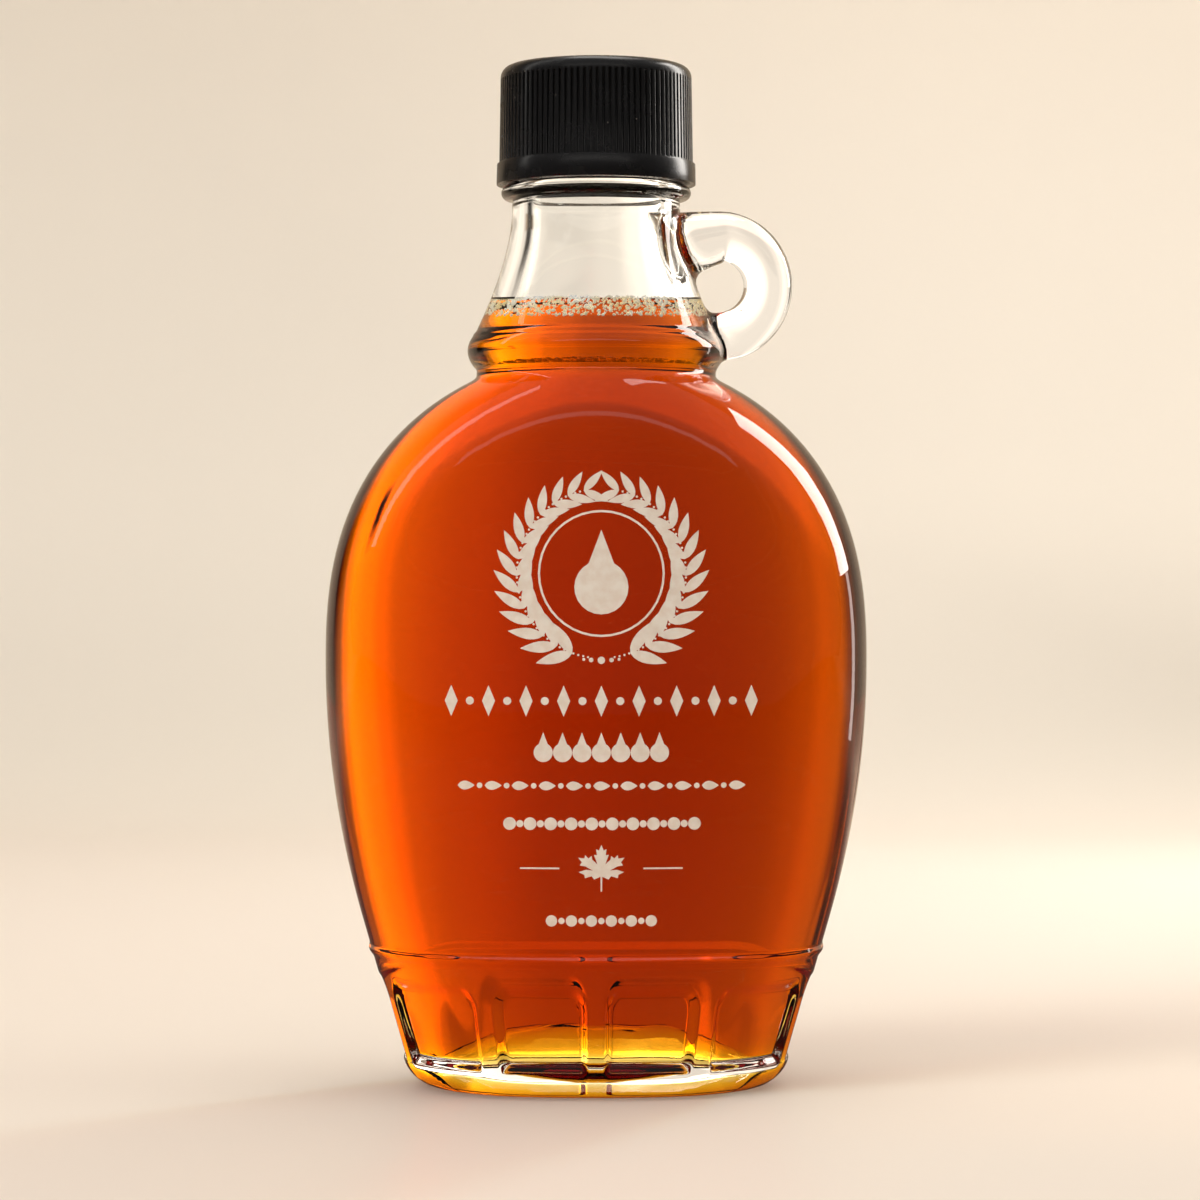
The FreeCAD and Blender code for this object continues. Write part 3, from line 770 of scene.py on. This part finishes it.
def soften_junction(glass):
    """Rounds the inner corners where the finger loop grows out of the neck."""
    only(glass)
    bpy.ops.object.mode_set(mode="EDIT")
    bpy.ops.mesh.select_mode(type="VERT")
    bpy.ops.mesh.select_all(action="DESELECT")
    mesh = bmesh.from_edit_mesh(glass.data)
    for vert in mesh.verts:
        x, y, z = vert.co / MM
        if x > 8.0 and abs(y) < 6.5 and LOOP_Z - 14.0 < z < LOOP_Z + 10.5:
            reach = float(np.maximum(outside_reach(np.float64(math.atan2(y, x)), np.float64(z), 0.0), 1.0))
            from_tube = abs(math.hypot(math.hypot(x - LOOP_X, z - LOOP_Z) - LOOP_RADIUS, y) - TUBE_RADIUS)
            if -0.25 < math.hypot(x, y) - reach < 1.5 and from_tube < 2.4:
                vert.select_set(True)
    bmesh.update_edit_mesh(glass.data)
    bpy.ops.mesh.vertices_smooth(factor=0.5, repeat=10)
    bpy.ops.object.mode_set(mode="OBJECT")


def make_glass():
    """The bottle's glass with its finger loop, as one closed solid."""
    settings = bpy.context.scene.syrup_bottle_glass
    angles = make_angles(settings.columns)
    glass = skin("glass_bottle_shell", glass_rings(angles, settings.waves / MM))
    handle = make_handle()
    apply_modifier(glass, "BOOLEAN", operation="UNION", object=handle, solver="EXACT")
    bpy.data.objects.remove(handle)
    soften_junction(glass)
    glass.data.polygons.foreach_set("use_smooth", [True] * len(glass.data.polygons))
    glass.data.materials.clear()
    glass.data.materials.append(glass_material("clear_glass", False))
    glass.data.materials.append(glass_material("wetted_glass", True))
    count = len(glass.data.polygons)
    normals, middles = np.zeros(count * 3), np.zeros(count * 3)
    glass.data.polygons.foreach_get("normal", normals)
    glass.data.polygons.foreach_get("center", middles)
    normals, middles = normals.reshape(-1, 3), middles.reshape(-1, 3) / MM
    inward = (normals[:, :2] * middles[:, :2]).sum(axis=1) < 0.0
    floor = (normals[:, 2] > 0.7) & (middles[:, 2] < FLOOR_Z + FLOOR_RADIUS)
    inside = inside_reach(np.arctan2(middles[:, 1], middles[:, 0]), middles[:, 2], WALL)
    close = np.hypot(middles[:, 0], middles[:, 1]) < inside + 0.6
    wet = close & (middles[:, 2] < LEVEL_Z) & (middles[:, 2] > FLOOR_Z - FLOOR_SINK - 0.4) & (inward | floor)
    glass.data.polygons.foreach_set("material_index", wet.astype(np.int32))
    glass.data.update()
    return finish_piece(glass, None, "clear_glass", "glass_bottle")


def make_syrup():
    """The syrup as one closed solid that reaches just into the glass, with a meniscus at its edge."""
    settings = bpy.context.scene.syrup_bottle_glass
    angles = make_angles(settings.columns)
    reach_in = bpy.context.scene.syrup_bottle_syrup.reach_in / MM
    rings = inner_rings(angles, reach_in, LEVEL_Z, settings.waves / MM)
    rings.reverse()
    edge = np.hypot(rings[-1][:, 0], rings[-1][:, 1])
    for back, drop in ((0.15, 0.0), (0.45, 0.22), (0.9, 0.38), (1.7, 0.47), (3.2, 0.5), (6.0, 0.5), (10.0, 0.5)):
        rings.append(ring_points(angles, edge - back, LEVEL_Z - drop))
    syrup = skin("syrup_fill", rings)
    return finish_piece(syrup, syrup_material(), "amber_syrup", "syrup")


# ---------------------------------------------------------------- foam
def make_foam():
    """Fine bubbles left against the glass round the top of the syrup."""
    settings = bpy.context.scene.syrup_bottle_syrup
    dice = random.Random(7)
    only(None)
    bpy.ops.mesh.primitive_ico_sphere_add(subdivisions=1, radius=1.0, location=(0.0, 0.0, 0.0))
    blank = bpy.context.object
    shape = np.array([vert.co for vert in blank.data.vertices])
    faces = [tuple(face.vertices) for face in blank.data.polygons]
    bpy.data.objects.remove(blank)
    verts, quads = [], []
    for _ in range(settings.bubbles):
        turn = dice.uniform(0.0, 2.0 * math.pi)
        size = 0.10 + 0.24 * dice.random() ** 2.5
        depth = 3.0 if math.sin(turn) < 0.25 else 1.2
        height = LEVEL_Z + 0.2 - depth * dice.random() ** 1.4
        wall = float(neck_inside(np.float64(height)))
        reach = wall - size * 0.95 - 0.02 - 0.3 * dice.random() ** 3
        middle = np.array([reach * math.cos(turn), reach * math.sin(turn), height])
        start = len(verts)
        verts += [tuple((middle + shape_point * size) * MM) for shape_point in shape]
        quads += [tuple(start + i for i in face) for face in faces]
    mesh = bpy.data.meshes.new("foam_ring")
    mesh.from_pydata(verts, [], quads)
    mesh.polygons.foreach_set("use_smooth", [True] * len(mesh.polygons))
    foam = bpy.data.objects.new("foam_ring", mesh)
    bpy.context.collection.objects.link(foam)
    return finish_piece(foam, foam_material(), "amber_syrup")


# ---------------------------------------------------------------- cap
def select_found(piece, found):
    """Selects what was found in edit mode, and stops if it was nothing."""
    if not found:
        raise RuntimeError("nothing of " + piece.name + " was found where it should be")
    for element in found:
        element.select_set(True)
    bmesh.update_edit_mesh(piece.data)


def select_faces(piece, test):
    """Selects the faces whose middle and normal, in millimetres, pass a test."""
    bpy.ops.mesh.select_mode(type="FACE")
    bpy.ops.mesh.select_all(action="DESELECT")
    mesh = bmesh.from_edit_mesh(piece.data)
    mesh.normal_update()
    found = [face for face in mesh.faces if test(face.calc_center_median() / MM, face.normal)]
    select_found(piece, found)


def select_edges(piece, test):
    """Selects the edges whose two ends, in millimetres, both pass a test."""
    bpy.ops.mesh.select_mode(type="EDGE")
    bpy.ops.mesh.select_all(action="DESELECT")
    mesh = bmesh.from_edit_mesh(piece.data)
    select_found(piece, [edge for edge in mesh.edges if all(test(vert.co / MM) for vert in edge.verts)])


def cut_level(z):
    """Cuts the piece in edit mode all round at a height in millimetres."""
    bpy.ops.mesh.select_all(action="SELECT")
    bpy.ops.mesh.bisect(plane_co=(0.0, 0.0, z * MM), plane_no=(0.0, 0.0, 1.0))


def make_cap():
    """The ribbed screw cap with its plain band, hollow for the glass."""
    settings = bpy.context.scene.syrup_bottle_cap
    columns = settings.ribs * RIB_COLUMNS
    low, high = CAP_LOW[2], CAP_HIGH[2]
    band_top, rib_top = low + CAP_BAND, high - CAP_SHOULDER
    only(None)
    bpy.ops.mesh.primitive_cylinder_add(
        vertices=columns, radius=CAP_RADIUS * MM, depth=(high - low) * MM,
        location=(0.0, 0.0, (low + high) / 2 * MM))
    cap = bpy.context.object
    cap.name = "cap_ribbed"
    bpy.ops.object.transform_apply(location=True, rotation=True, scale=True)
    bpy.ops.object.mode_set(mode="EDIT")
    select_edges(cap, lambda co: co.z > high - 0.01)
    bpy.ops.transform.resize(value=(CAP_TOP_RADIUS / CAP_RADIUS, CAP_TOP_RADIUS / CAP_RADIUS, 1.0))
    bpy.ops.mesh.bevel(offset=CAP_ROUND * MM, segments=6)
    for z in (band_top, band_top + 0.25, rib_top):
        cut_level(z)
    select_faces(cap, lambda co, normal: abs(normal.z) < 0.1 and band_top + 0.25 < co.z < rib_top)
    mesh = bmesh.from_edit_mesh(cap.data)
    for face in mesh.faces:
        if face.select:
            co = face.calc_center_median()
            column = int(math.atan2(co.y, co.x) % (2.0 * math.pi) / (2.0 * math.pi) * columns)
            face.select_set(column % RIB_COLUMNS < GROOVE_COLUMNS)
    bmesh.update_edit_mesh(cap.data)
    bpy.ops.mesh.inset(thickness=0.07 * MM, depth=-RIB_DEPTH * MM)
    select_faces(cap, lambda co, normal: abs(normal.z) < 0.1 and co.z < band_top)
    bpy.ops.mesh.extrude_region_shrink_fatten(TRANSFORM_OT_shrink_fatten={"value": CAP_BAND_PROUD * MM})
    select_faces(cap, lambda co, normal: normal.z < -0.9 and co.z < low + 0.01)
    bpy.ops.mesh.delete(type="FACE")
    bpy.ops.mesh.select_mode(type="EDGE")
    bpy.ops.mesh.select_all(action="DESELECT")
    bpy.ops.mesh.select_non_manifold()
    bpy.ops.mesh.edge_face_add()
    select_faces(cap, lambda co, normal: normal.z < -0.9 and co.z < low + 0.01)
    bpy.ops.mesh.inset(thickness=0.25 * MM)
    bpy.ops.mesh.inset(thickness=1.5 * MM)
    up = (RIM_Z - low + 0.02) * MM
    bpy.ops.mesh.extrude_region_move(TRANSFORM_OT_translate={"value": (0.0, 0.0, up)})
    bpy.ops.mesh.select_all(action="SELECT")
    bpy.ops.mesh.remove_doubles(threshold=0.002 * MM)
    bpy.ops.mesh.normals_make_consistent(inside=False)
    bpy.ops.object.mode_set(mode="OBJECT")
    apply_modifier(cap, "BEVEL", width=0.09 * MM, segments=2, limit_method="ANGLE", angle_limit=math.radians(50))
    only(cap)
    bpy.ops.object.shade_smooth_by_angle(angle=math.radians(38))
    return finish_piece(cap, cap_material(), "black_plastic", "cap")


# ---------------------------------------------------------------- print
PRINT_Y = -40.0     # the print is drawn flat in front of the bottle, then laid on it
BETWEEN = {"lozenge": 0.13, "leaf": 0.14, "dot": 0.28}     # radius of the dot between motifs, by their height


def flat_shape(outline):
    """A flat filled shape in front of the bottle, from an outline in millimetres."""
    mesh = bpy.data.meshes.new("motif")
    mesh.from_pydata([(x * MM, PRINT_Y * MM, z * MM) for x, z in outline], [], [tuple(range(len(outline)))])
    piece = bpy.data.objects.new("motif", mesh)
    bpy.context.collection.objects.link(piece)
    return piece


def disc(x, z, radius, squash=1.0, sides=16):
    """A round or lozenge dot of the print."""
    only(None)
    bpy.ops.mesh.primitive_circle_add(
        vertices=sides, radius=radius * MM, fill_type="NGON",
        location=(x * MM, PRINT_Y * MM, z * MM), rotation=(math.pi / 2, 0.0, 0.0))
    dot = bpy.context.object
    dot.scale = (squash, 1.0, 1.0)
    bpy.ops.object.transform_apply(location=True, rotation=True, scale=True)
    return dot


def ring(x, z, radius, width):
    """A round line of the print."""
    outer = disc(x, z, radius, sides=40)
    bpy.ops.object.mode_set(mode="EDIT")
    bpy.ops.mesh.select_all(action="SELECT")
    bpy.ops.mesh.inset(thickness=width * MM)
    bpy.ops.mesh.delete(type="FACE")
    bpy.ops.object.mode_set(mode="OBJECT")
    return outer


def leaf(x, z, length, width, turn):
    """A plain pointed leaf that springs from a point and leans by an angle."""
    outline = []
    for side in (1, -1):
        shares = [i / 8 for i in range(9)] if side == 1 else [i / 8 for i in range(7, 0, -1)]
        for share in shares:
            across = side * width / 2 * math.sin(math.pi * share ** 0.8) ** 0.9 if 0 < share < 1 else 0.0
            along = length * share
            outline.append((x + across * math.cos(turn) + along * math.sin(turn),
                            z - across * math.sin(turn) + along * math.cos(turn)))
    return flat_shape(outline)


def bar(x, z, length, height):
    """A straight rule of the print, centred on a point."""
    a, b = length / 2, height / 2
    return flat_shape([(x - a, z - b), (x + a, z - b), (x + a, z + b), (x - a, z + b)])


def drop(x, z, height):
    """A drop of syrup, point up, centred on a point."""
    radius = height * 0.32
    outline = [(x, z + height / 2)]
    for i in range(21):
        turn = math.radians(62 - i * (304 / 20))
        outline.append((x + radius * math.cos(turn), z - height / 2 + radius + radius * math.sin(turn)))
    return flat_shape(outline)


def maple_leaf(x, z, size):
    """A plain five-lobed maple leaf with its stalk, point up."""
    lobes = ((0.0, 1.0), (0.09, 0.78), (0.20, 0.83), (0.17, 0.60), (0.29, 0.61), (0.15, 0.24), (0.35, 0.42),
             (0.38, 0.57), (0.50, 0.47), (0.63, 0.60), (0.66, 0.47), (0.90, 0.50), (0.76, 0.32), (0.84, 0.20),
             (0.62, 0.16), (0.33, 0.00), (0.60, 0.03), (0.88, -0.06), (0.66, -0.17), (0.64, -0.30), (0.38, -0.22),
             (0.28, -0.35), (0.035, -0.24), (0.03, -0.82))
    outline = [(x + a * size / 2, z + b * size / 2) for a, b in lobes]
    outline += [(x - a * size / 2, z + b * size / 2) for a, b in reversed(lobes[1:])]
    return flat_shape(outline)


def wreath(x, z, radius):
    """Two sprays of leaves that rise round a drop and nearly meet at the top."""
    shapes = [ring(x, z, radius * 0.60, 0.32), drop(x, z + 0.2, radius * 0.80)]
    for side in (-1, 1):
        for i in range(14):
            share = i / 13
            turn = math.radians(180 - side * (20 + 148 * share))
            px, pz = x + radius * 0.80 * math.sin(turn), z + radius * 0.80 * math.cos(turn)
            along = turn - side * math.pi / 2
            size = radius * (0.36 - 0.10 * share)
            for lean in (0.62, -0.62):
                shapes.append(leaf(px, pz, size, size * 0.31, along + lean))
    for i in range(48):
        for side in (-1, 1):
            turn = math.radians(180 - side * (9 + 3.4 * i))
            px, pz = x + radius * 0.80 * math.sin(turn), z + radius * 0.80 * math.cos(turn)
            shapes.append(disc(px, pz, 0.17, sides=8))
    for across, size in ((0.0, 0.55), (-1.5, 0.34), (1.5, 0.34), (-2.6, 0.22), (2.6, 0.22)):
        shapes.append(disc(x + across, z - radius * 0.82 + 0.02 * across ** 2, size))
    return shapes


def border(x_low, x_high, z, height, count, kind):
    """A row of plain motifs between two ends: drops, or lozenges, leaves or dots with a smaller dot between."""
    shapes = []
    for i in range(count):
        x = x_low + (x_high - x_low) * (i + 0.5) / count
        if kind == "drop":
            shapes.append(drop(x, z, height))
        elif i % 2:
            shapes.append(disc(x, z, height * BETWEEN[kind]))
        elif kind == "lozenge":
            shapes.append(disc(x, z, height / 2, 0.42, 4))
        elif kind == "leaf":
            shapes.append(leaf(x - height * 0.42, z, height * 0.84, height * 0.44, math.pi / 2))
        else:
            shapes.append(disc(x, z, height / 2))
    return shapes


def make_print():
    """Plain cream print on the front face: a wreath, borders, a maple leaf and rules."""
    settings = bpy.context.scene.syrup_bottle_print
    shapes = wreath(0.8, 78.6, 15.6)
    shapes += border(-22.8, 24.4, 59.8, 4.6, 17, "lozenge")
    shapes += border(-9.2, 10.8, 53.0, 4.4, 7, "drop")
    shapes += border(-20.2, 21.9, 47.3, 3.0, 21, "leaf")
    shapes += border(-13.5, 15.3, 41.7, 1.9, 19, "dot")
    shapes += [maple_leaf(0.8, 34.8, 7.6), bar(-8.3, 35.1, 5.8, 0.24), bar(9.9, 35.1, 5.8, 0.24)]
    shapes += border(-7.3, 8.9, 27.3, 1.7, 11, "dot")
    only(shapes[0])
    for shape in shapes:
        shape.select_set(True)
    bpy.ops.object.join()
    piece = bpy.context.object
    piece.name = "front_print"
    bpy.ops.object.mode_set(mode="EDIT")
    bpy.ops.mesh.select_all(action="SELECT")
    bpy.ops.mesh.quads_convert_to_tris()
    for _ in range(2):
        bpy.ops.mesh.select_mode(type="EDGE")
        bpy.ops.mesh.select_all(action="DESELECT")
        mesh = bmesh.from_edit_mesh(piece.data)
        for edge in mesh.edges:
            edge.select_set(edge.calc_length() > 1.6 * MM)
        bmesh.update_edit_mesh(piece.data)
        if any(edge.select for edge in mesh.edges):
            bpy.ops.mesh.subdivide(number_cuts=2)
            bpy.ops.mesh.select_all(action="SELECT")
            bpy.ops.mesh.quads_convert_to_tris()
    bpy.ops.object.mode_set(mode="OBJECT")
    points = np.zeros(len(piece.data.vertices) * 3)
    piece.data.vertices.foreach_get("co", points)
    points = points.reshape(-1, 3) / MM
    for _ in range(12):
        angle = np.arctan2(points[:, 1], points[:, 0])
        reach = outside_reach(angle, points[:, 2], 0.0)
        points[:, 1] = -np.sqrt(np.maximum(reach ** 2 - points[:, 0] ** 2, 1.0))
    points[:, 1] -= 0.02
    piece.data.vertices.foreach_set("co", (points * MM).ravel())
    piece.data.update()
    only(piece)
    bpy.ops.object.mode_set(mode="EDIT")
    bpy.ops.mesh.select_mode(type="FACE")
    mesh = bmesh.from_edit_mesh(piece.data)
    mesh.normal_update()
    for face in mesh.faces:
        face.select_set(face.normal.y > 0.0)
    bmesh.update_edit_mesh(piece.data)
    bpy.ops.mesh.flip_normals()
    bpy.ops.object.mode_set(mode="OBJECT")
    apply_modifier(piece, "SOLIDIFY", thickness=settings.ink_depth, offset=1.0)
    return finish_piece(piece, print_material(), "white_print")


# ---------------------------------------------------------------- settings
class SyrupBottleGlass(bpy.types.PropertyGroup):
    """Settings of the moulded glass."""
    glass_colour: FloatVectorProperty(
        name="Glass Colour", description="Tint of the flint glass", default=(0.985, 0.99, 0.985),
        subtype="COLOR", min=0.0, max=1.0)
    columns: IntProperty(
        name="Columns", description="Mesh columns round the bottle", default=232, min=64, max=320)
    waves: FloatProperty(
        name="Inner Waves", description="Unevenness of the inner wall", default=0.13 * MM, unit="LENGTH", precision=5)
    ripple: FloatProperty(
        name="Ripple", description="Strength of the fine ripple on the glass", default=0.05, min=0.0, max=1.0)


class SyrupBottleSyrup(bpy.types.PropertyGroup):
    """Settings of the syrup."""
    syrup_colour: FloatVectorProperty(
        name="Syrup Colour", description="What a thin layer of syrup lets through", default=(0.940, 0.770, 0.0),
        subtype="COLOR", min=0.0, max=1.0)
    density: FloatProperty(
        name="Density", description="How fast the syrup darkens with depth", default=400.0, min=0.0)
    reach_in: FloatProperty(
        name="Reach In", description="How far the syrup reaches into the glass, so that no air shows",
        default=0.13 * MM, unit="LENGTH", precision=5)
    bubbles: IntProperty(name="Bubbles", description="Bubbles round the top of the syrup", default=3200, min=0)


class SyrupBottleCap(bpy.types.PropertyGroup):
    """Settings of the cap."""
    cap_colour: FloatVectorProperty(
        name="Cap Colour", description="Colour of the plastic", default=(0.0075, 0.0075, 0.0085),
        subtype="COLOR", min=0.0, max=1.0)
    ribs: IntProperty(name="Ribs", description="Ribs round the cap", default=96, min=24, max=180)


class SyrupBottlePrint(bpy.types.PropertyGroup):
    """Settings of the print."""
    ink_colour: FloatVectorProperty(
        name="Ink Colour", description="Colour of the enamel", default=(0.96, 0.89, 0.80),
        subtype="COLOR", min=0.0, max=1.0)
    ink_depth: FloatProperty(
        name="Ink Depth", description="Thickness of the enamel", default=0.05 * MM, unit="LENGTH", precision=5)


class SyrupBottleStage(bpy.types.PropertyGroup):
    """Settings of the studio."""
    backdrop_colour: FloatVectorProperty(
        name="Backdrop Colour", description="Colour of the sweep behind the bottle", default=(0.90, 0.83, 0.73),
        subtype="COLOR", min=0.0, max=1.0)
    floor_colour: FloatVectorProperty(
        name="Floor Colour", description="Colour of the sweep under the bottle", default=(0.88, 0.79, 0.70),
        subtype="COLOR", min=0.0, max=1.0)
    key_power: FloatProperty(name="Key Power", description="Power of the key lamp", default=5.0, unit="POWER")
    top_power: FloatProperty(name="Top Power", description="Power of the lamp overhead", default=6.9, unit="POWER")
    glow_power: FloatProperty(
        name="Glow Power", description="Power of the lamp that shines through the syrup", default=1.1, unit="POWER")
    backdrop_power: FloatProperty(
        name="Backdrop Power", description="Power of the lamp on the backdrop", default=3.8, unit="POWER")
    highlight: FloatProperty(
        name="Highlight", description="Brightness of the boxes that draw the highlights", default=13.0)
    sky_light: FloatProperty(name="Sky Light", description="Brightness of the room overhead", default=0.30)
    horizon_light: FloatProperty(name="Horizon Light", description="Brightness of the room round about", default=0.07)


# ---------------------------------------------------------------- operators
class SYRUPBOTTLE_OT_glass(bpy.types.Operator):
    """Add the moulded glass with its finger loop"""
    bl_idname = "syrup_bottle.glass"
    bl_label = "Add Glass"

    def execute(self, context):
        make_glass()
        return {"FINISHED"}


class SYRUPBOTTLE_OT_syrup(bpy.types.Operator):
    """Add the syrup that fills the glass up to its level"""
    bl_idname = "syrup_bottle.syrup"
    bl_label = "Add Syrup"

    def execute(self, context):
        make_syrup()
        return {"FINISHED"}


class SYRUPBOTTLE_OT_foam(bpy.types.Operator):
    """Add the ring of fine bubbles on the syrup"""
    bl_idname = "syrup_bottle.foam"
    bl_label = "Add Foam"

    def execute(self, context):
        make_foam()
        return {"FINISHED"}


class SYRUPBOTTLE_OT_cap(bpy.types.Operator):
    """Add the ribbed screw cap"""
    bl_idname = "syrup_bottle.cap"
    bl_label = "Add Cap"

    def execute(self, context):
        make_cap()
        return {"FINISHED"}


class SYRUPBOTTLE_OT_print(bpy.types.Operator):
    """Add the cream print on the front face"""
    bl_idname = "syrup_bottle.front_print"
    bl_label = "Add Print"

    def execute(self, context):
        make_print()
        return {"FINISHED"}


# ---------------------------------------------------------------- stage
def hang_lamp(name, kind, place, target, power, colour, unseen):
    """A lamp at a place, turned to a target, power and colour set, and hidden from some kinds of rays."""
    data = bpy.data.lights.new(name, kind)
    data.energy, data.color = power, colour
    lamp = bpy.data.objects.new(name, data)
    bpy.context.collection.objects.link(lamp)
    lamp.location = place
    lamp.rotation_euler = (Vector(target) - Vector(place)).to_track_quat("-Z", "Y").to_euler()
    for rays in unseen:
        setattr(lamp, "visible_" + rays, False)
    return data


def area_lamp(name, place, target, width, height, power, unseen):
    """A soft rectangular lamp that the camera looks past."""
    data = hang_lamp(name, "AREA", place, target, power, WARM, ("camera", *unseen))
    data.shape, data.size, data.size_y = "RECTANGLE", width, height


def pool_lamp(name, place, target, power):
    """A narrow soft-edged spot that lays an amber pool on the floor, as light through the syrup does."""
    data = hang_lamp(name, "SPOT", place, target, power, AMBER, ("glossy", "transmission"))
    data.spot_size, data.spot_blend, data.shadow_soft_size = math.radians(16), 1.0, 0.01


def round_about(azimuth, distance, height):
    """A place at a bearing and a distance from the bottle, where 0 degrees is straight behind it."""
    turn = math.radians(azimuth)
    return distance * math.sin(turn), distance * math.cos(turn), height


def panel_lamp(name, azimuth, distance, width, height, middle, radiance):
    """A soft box of a given brightness that faces the bottle and is seen only as a highlight."""
    power = radiance * width * height * math.pi
    area_lamp(name, round_about(azimuth, distance, middle), (0.0, 0.0, 0.08), width, height, power,
              ("diffuse", "transmission"))


def black_card(name, azimuth, distance, width, height, material):
    """A dark card by the bottle that draws dark lines along its edges; the camera looks past it."""
    only(None)
    bpy.ops.mesh.primitive_plane_add(size=1.0, location=(0.0, 0.0, 0.0))
    card = bpy.context.object
    card.name = name
    card.scale = (width, height, 1.0)
    card.rotation_euler = (math.pi / 2, 0.0, -math.radians(azimuth))
    card.location = round_about(azimuth, distance, height / 2)
    bpy.ops.object.transform_apply(location=True, rotation=True, scale=True)
    card.visible_camera = card.visible_diffuse = card.visible_shadow = False
    card.data.materials.append(material)


def make_sweep():
    """The paper floor that curves up into the backdrop."""
    only(None)
    bpy.ops.mesh.primitive_plane_add(size=1.0, location=(0.0, -1.22, 0.0))
    sweep = bpy.context.object
    sweep.name = "paper_sweep"
    sweep.scale = (6.0, 4.0, 1.0)
    bpy.ops.object.transform_apply(location=True, rotation=False, scale=True)
    bpy.ops.object.mode_set(mode="EDIT")
    select_edges(sweep, lambda co: co.y > 700.0)
    bpy.ops.mesh.extrude_region_move(TRANSFORM_OT_translate={"value": (0.0, 0.10, 2.4)})
    select_edges(sweep, lambda co: 700.0 < co.y < 800.0 and co.z < 10.0)
    bpy.ops.mesh.bevel(offset=0.30, segments=20)
    bpy.ops.object.mode_set(mode="OBJECT")
    sweep.data.polygons.foreach_set("use_smooth", [True] * len(sweep.data.polygons))
    sweep.data.materials.append(backdrop_material())


def make_lamps():
    """The lamps that light the scene, the pools on the floor and the boxes that draw the highlights."""
    settings = bpy.context.scene.syrup_bottle_stage
    mirror, both = ("glossy",), ("glossy", "transmission")
    area_lamp("key_lamp", (-0.66, -0.50, 0.80), (0.0, 0.0, 0.05), 0.36, 0.36, settings.key_power, both)
    area_lamp("top_lamp", (0.0, 0.0, 1.3), (0.0, 0.1, 0.0), 1.4, 1.2, settings.top_power, mirror)
    area_lamp("backdrop_lamp", (0.85, 0.05, 0.90), (0.38, 0.80, 0.80), 0.8, 0.7, settings.backdrop_power, both)
    area_lamp("glow_lamp", (0.30, 0.40, 0.30), (0.0, 0.0, 0.05), 0.06, 0.06, settings.glow_power, both)
    pool_lamp("right_pool", (0.42, -0.10, 0.30), (0.070, -0.01, 0.0), 0.75)
    pool_lamp("front_pool", (-0.10, -0.42, 0.30), (-0.005, -0.066, 0.0), 0.50)
    for name, azimuth, distance, width, height, middle, share in SOFT_BOXES:
        panel_lamp(name, azimuth, distance, width, height, middle, settings.highlight * share)


def make_stage():
    """The paper sweep, the lamps and cards, the even room light and the camera."""
    make_sweep()
    make_lamps()
    felt = card_material()
    black_card("low_card", 29.0, 0.30, 0.024, 0.042, felt)
    black_card("left_card", -54.0, 0.50, 0.17, 0.34, felt)

    world = bpy.data.worlds.new("room_light")
    bpy.context.scene.world = world
    world.use_nodes = True
    room_light(world.node_tree)

    data = bpy.data.cameras.new("camera")
    data.lens, data.sensor_width = 105.9, 36.0
    data.clip_start, data.clip_end = 0.01, 20.0
    camera = bpy.data.objects.new("camera", data)
    bpy.context.collection.objects.link(camera)
    camera.location = (0.0006, -0.544, 0.0809)
    target = Vector((0.0006, 0.0, 0.0744))
    camera.rotation_euler = (target - camera.location).to_track_quat("-Z", "Y").to_euler()
    scene = bpy.context.scene
    scene.camera = camera
    scene.view_settings.view_transform = "Standard"
    scene.cycles.caustics_reflective = False
    scene.cycles.caustics_refractive = False
    scene.cycles.max_bounces = scene.cycles.transmission_bounces = 28
    scene.cycles.glossy_bounces = 6
    scene.cycles.transparent_max_bounces = 24


class SYRUPBOTTLE_OT_stage(bpy.types.Operator):
    """Add the paper sweep, the lamps and the camera"""
    bl_idname = "syrup_bottle.stage"
    bl_label = "Add Studio"

    def execute(self, context):
        make_stage()
        return {"FINISHED"}


OPERATORS = (
    SYRUPBOTTLE_OT_glass, SYRUPBOTTLE_OT_syrup, SYRUPBOTTLE_OT_foam, SYRUPBOTTLE_OT_cap, SYRUPBOTTLE_OT_print,
    SYRUPBOTTLE_OT_stage)


class SYRUPBOTTLE_PT_panel(bpy.types.Panel):
    """Lists the pieces of the bottle"""
    bl_label = "Maple Syrup Bottle"
    bl_idname = "SYRUPBOTTLE_PT_panel"
    bl_space_type = "VIEW_3D"
    bl_region_type = "UI"
    bl_category = "Syrup"

    def draw(self, context):
        for operator in OPERATORS:
            self.layout.operator(operator.bl_idname)


SETTINGS = {
    "syrup_bottle_glass": SyrupBottleGlass,
    "syrup_bottle_syrup": SyrupBottleSyrup,
    "syrup_bottle_cap": SyrupBottleCap,
    "syrup_bottle_print": SyrupBottlePrint,
    "syrup_bottle_stage": SyrupBottleStage,
}


def register():
    for name, group in SETTINGS.items():
        bpy.utils.register_class(group)
        setattr(bpy.types.Scene, name, PointerProperty(type=group))
    for cls in (*OPERATORS, SYRUPBOTTLE_PT_panel):
        bpy.utils.register_class(cls)


def unregister():
    for cls in reversed((*OPERATORS, SYRUPBOTTLE_PT_panel)):
        bpy.utils.unregister_class(cls)
    for name, group in reversed(list(SETTINGS.items())):
        delattr(bpy.types.Scene, name)
        bpy.utils.unregister_class(group)


def main():
    """Registers the add-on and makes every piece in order."""
    register()
    for operator in OPERATORS:
        package, name = operator.bl_idname.split(".")
        getattr(getattr(bpy.ops, package), name)()


if __name__ == "__main__":
    main()
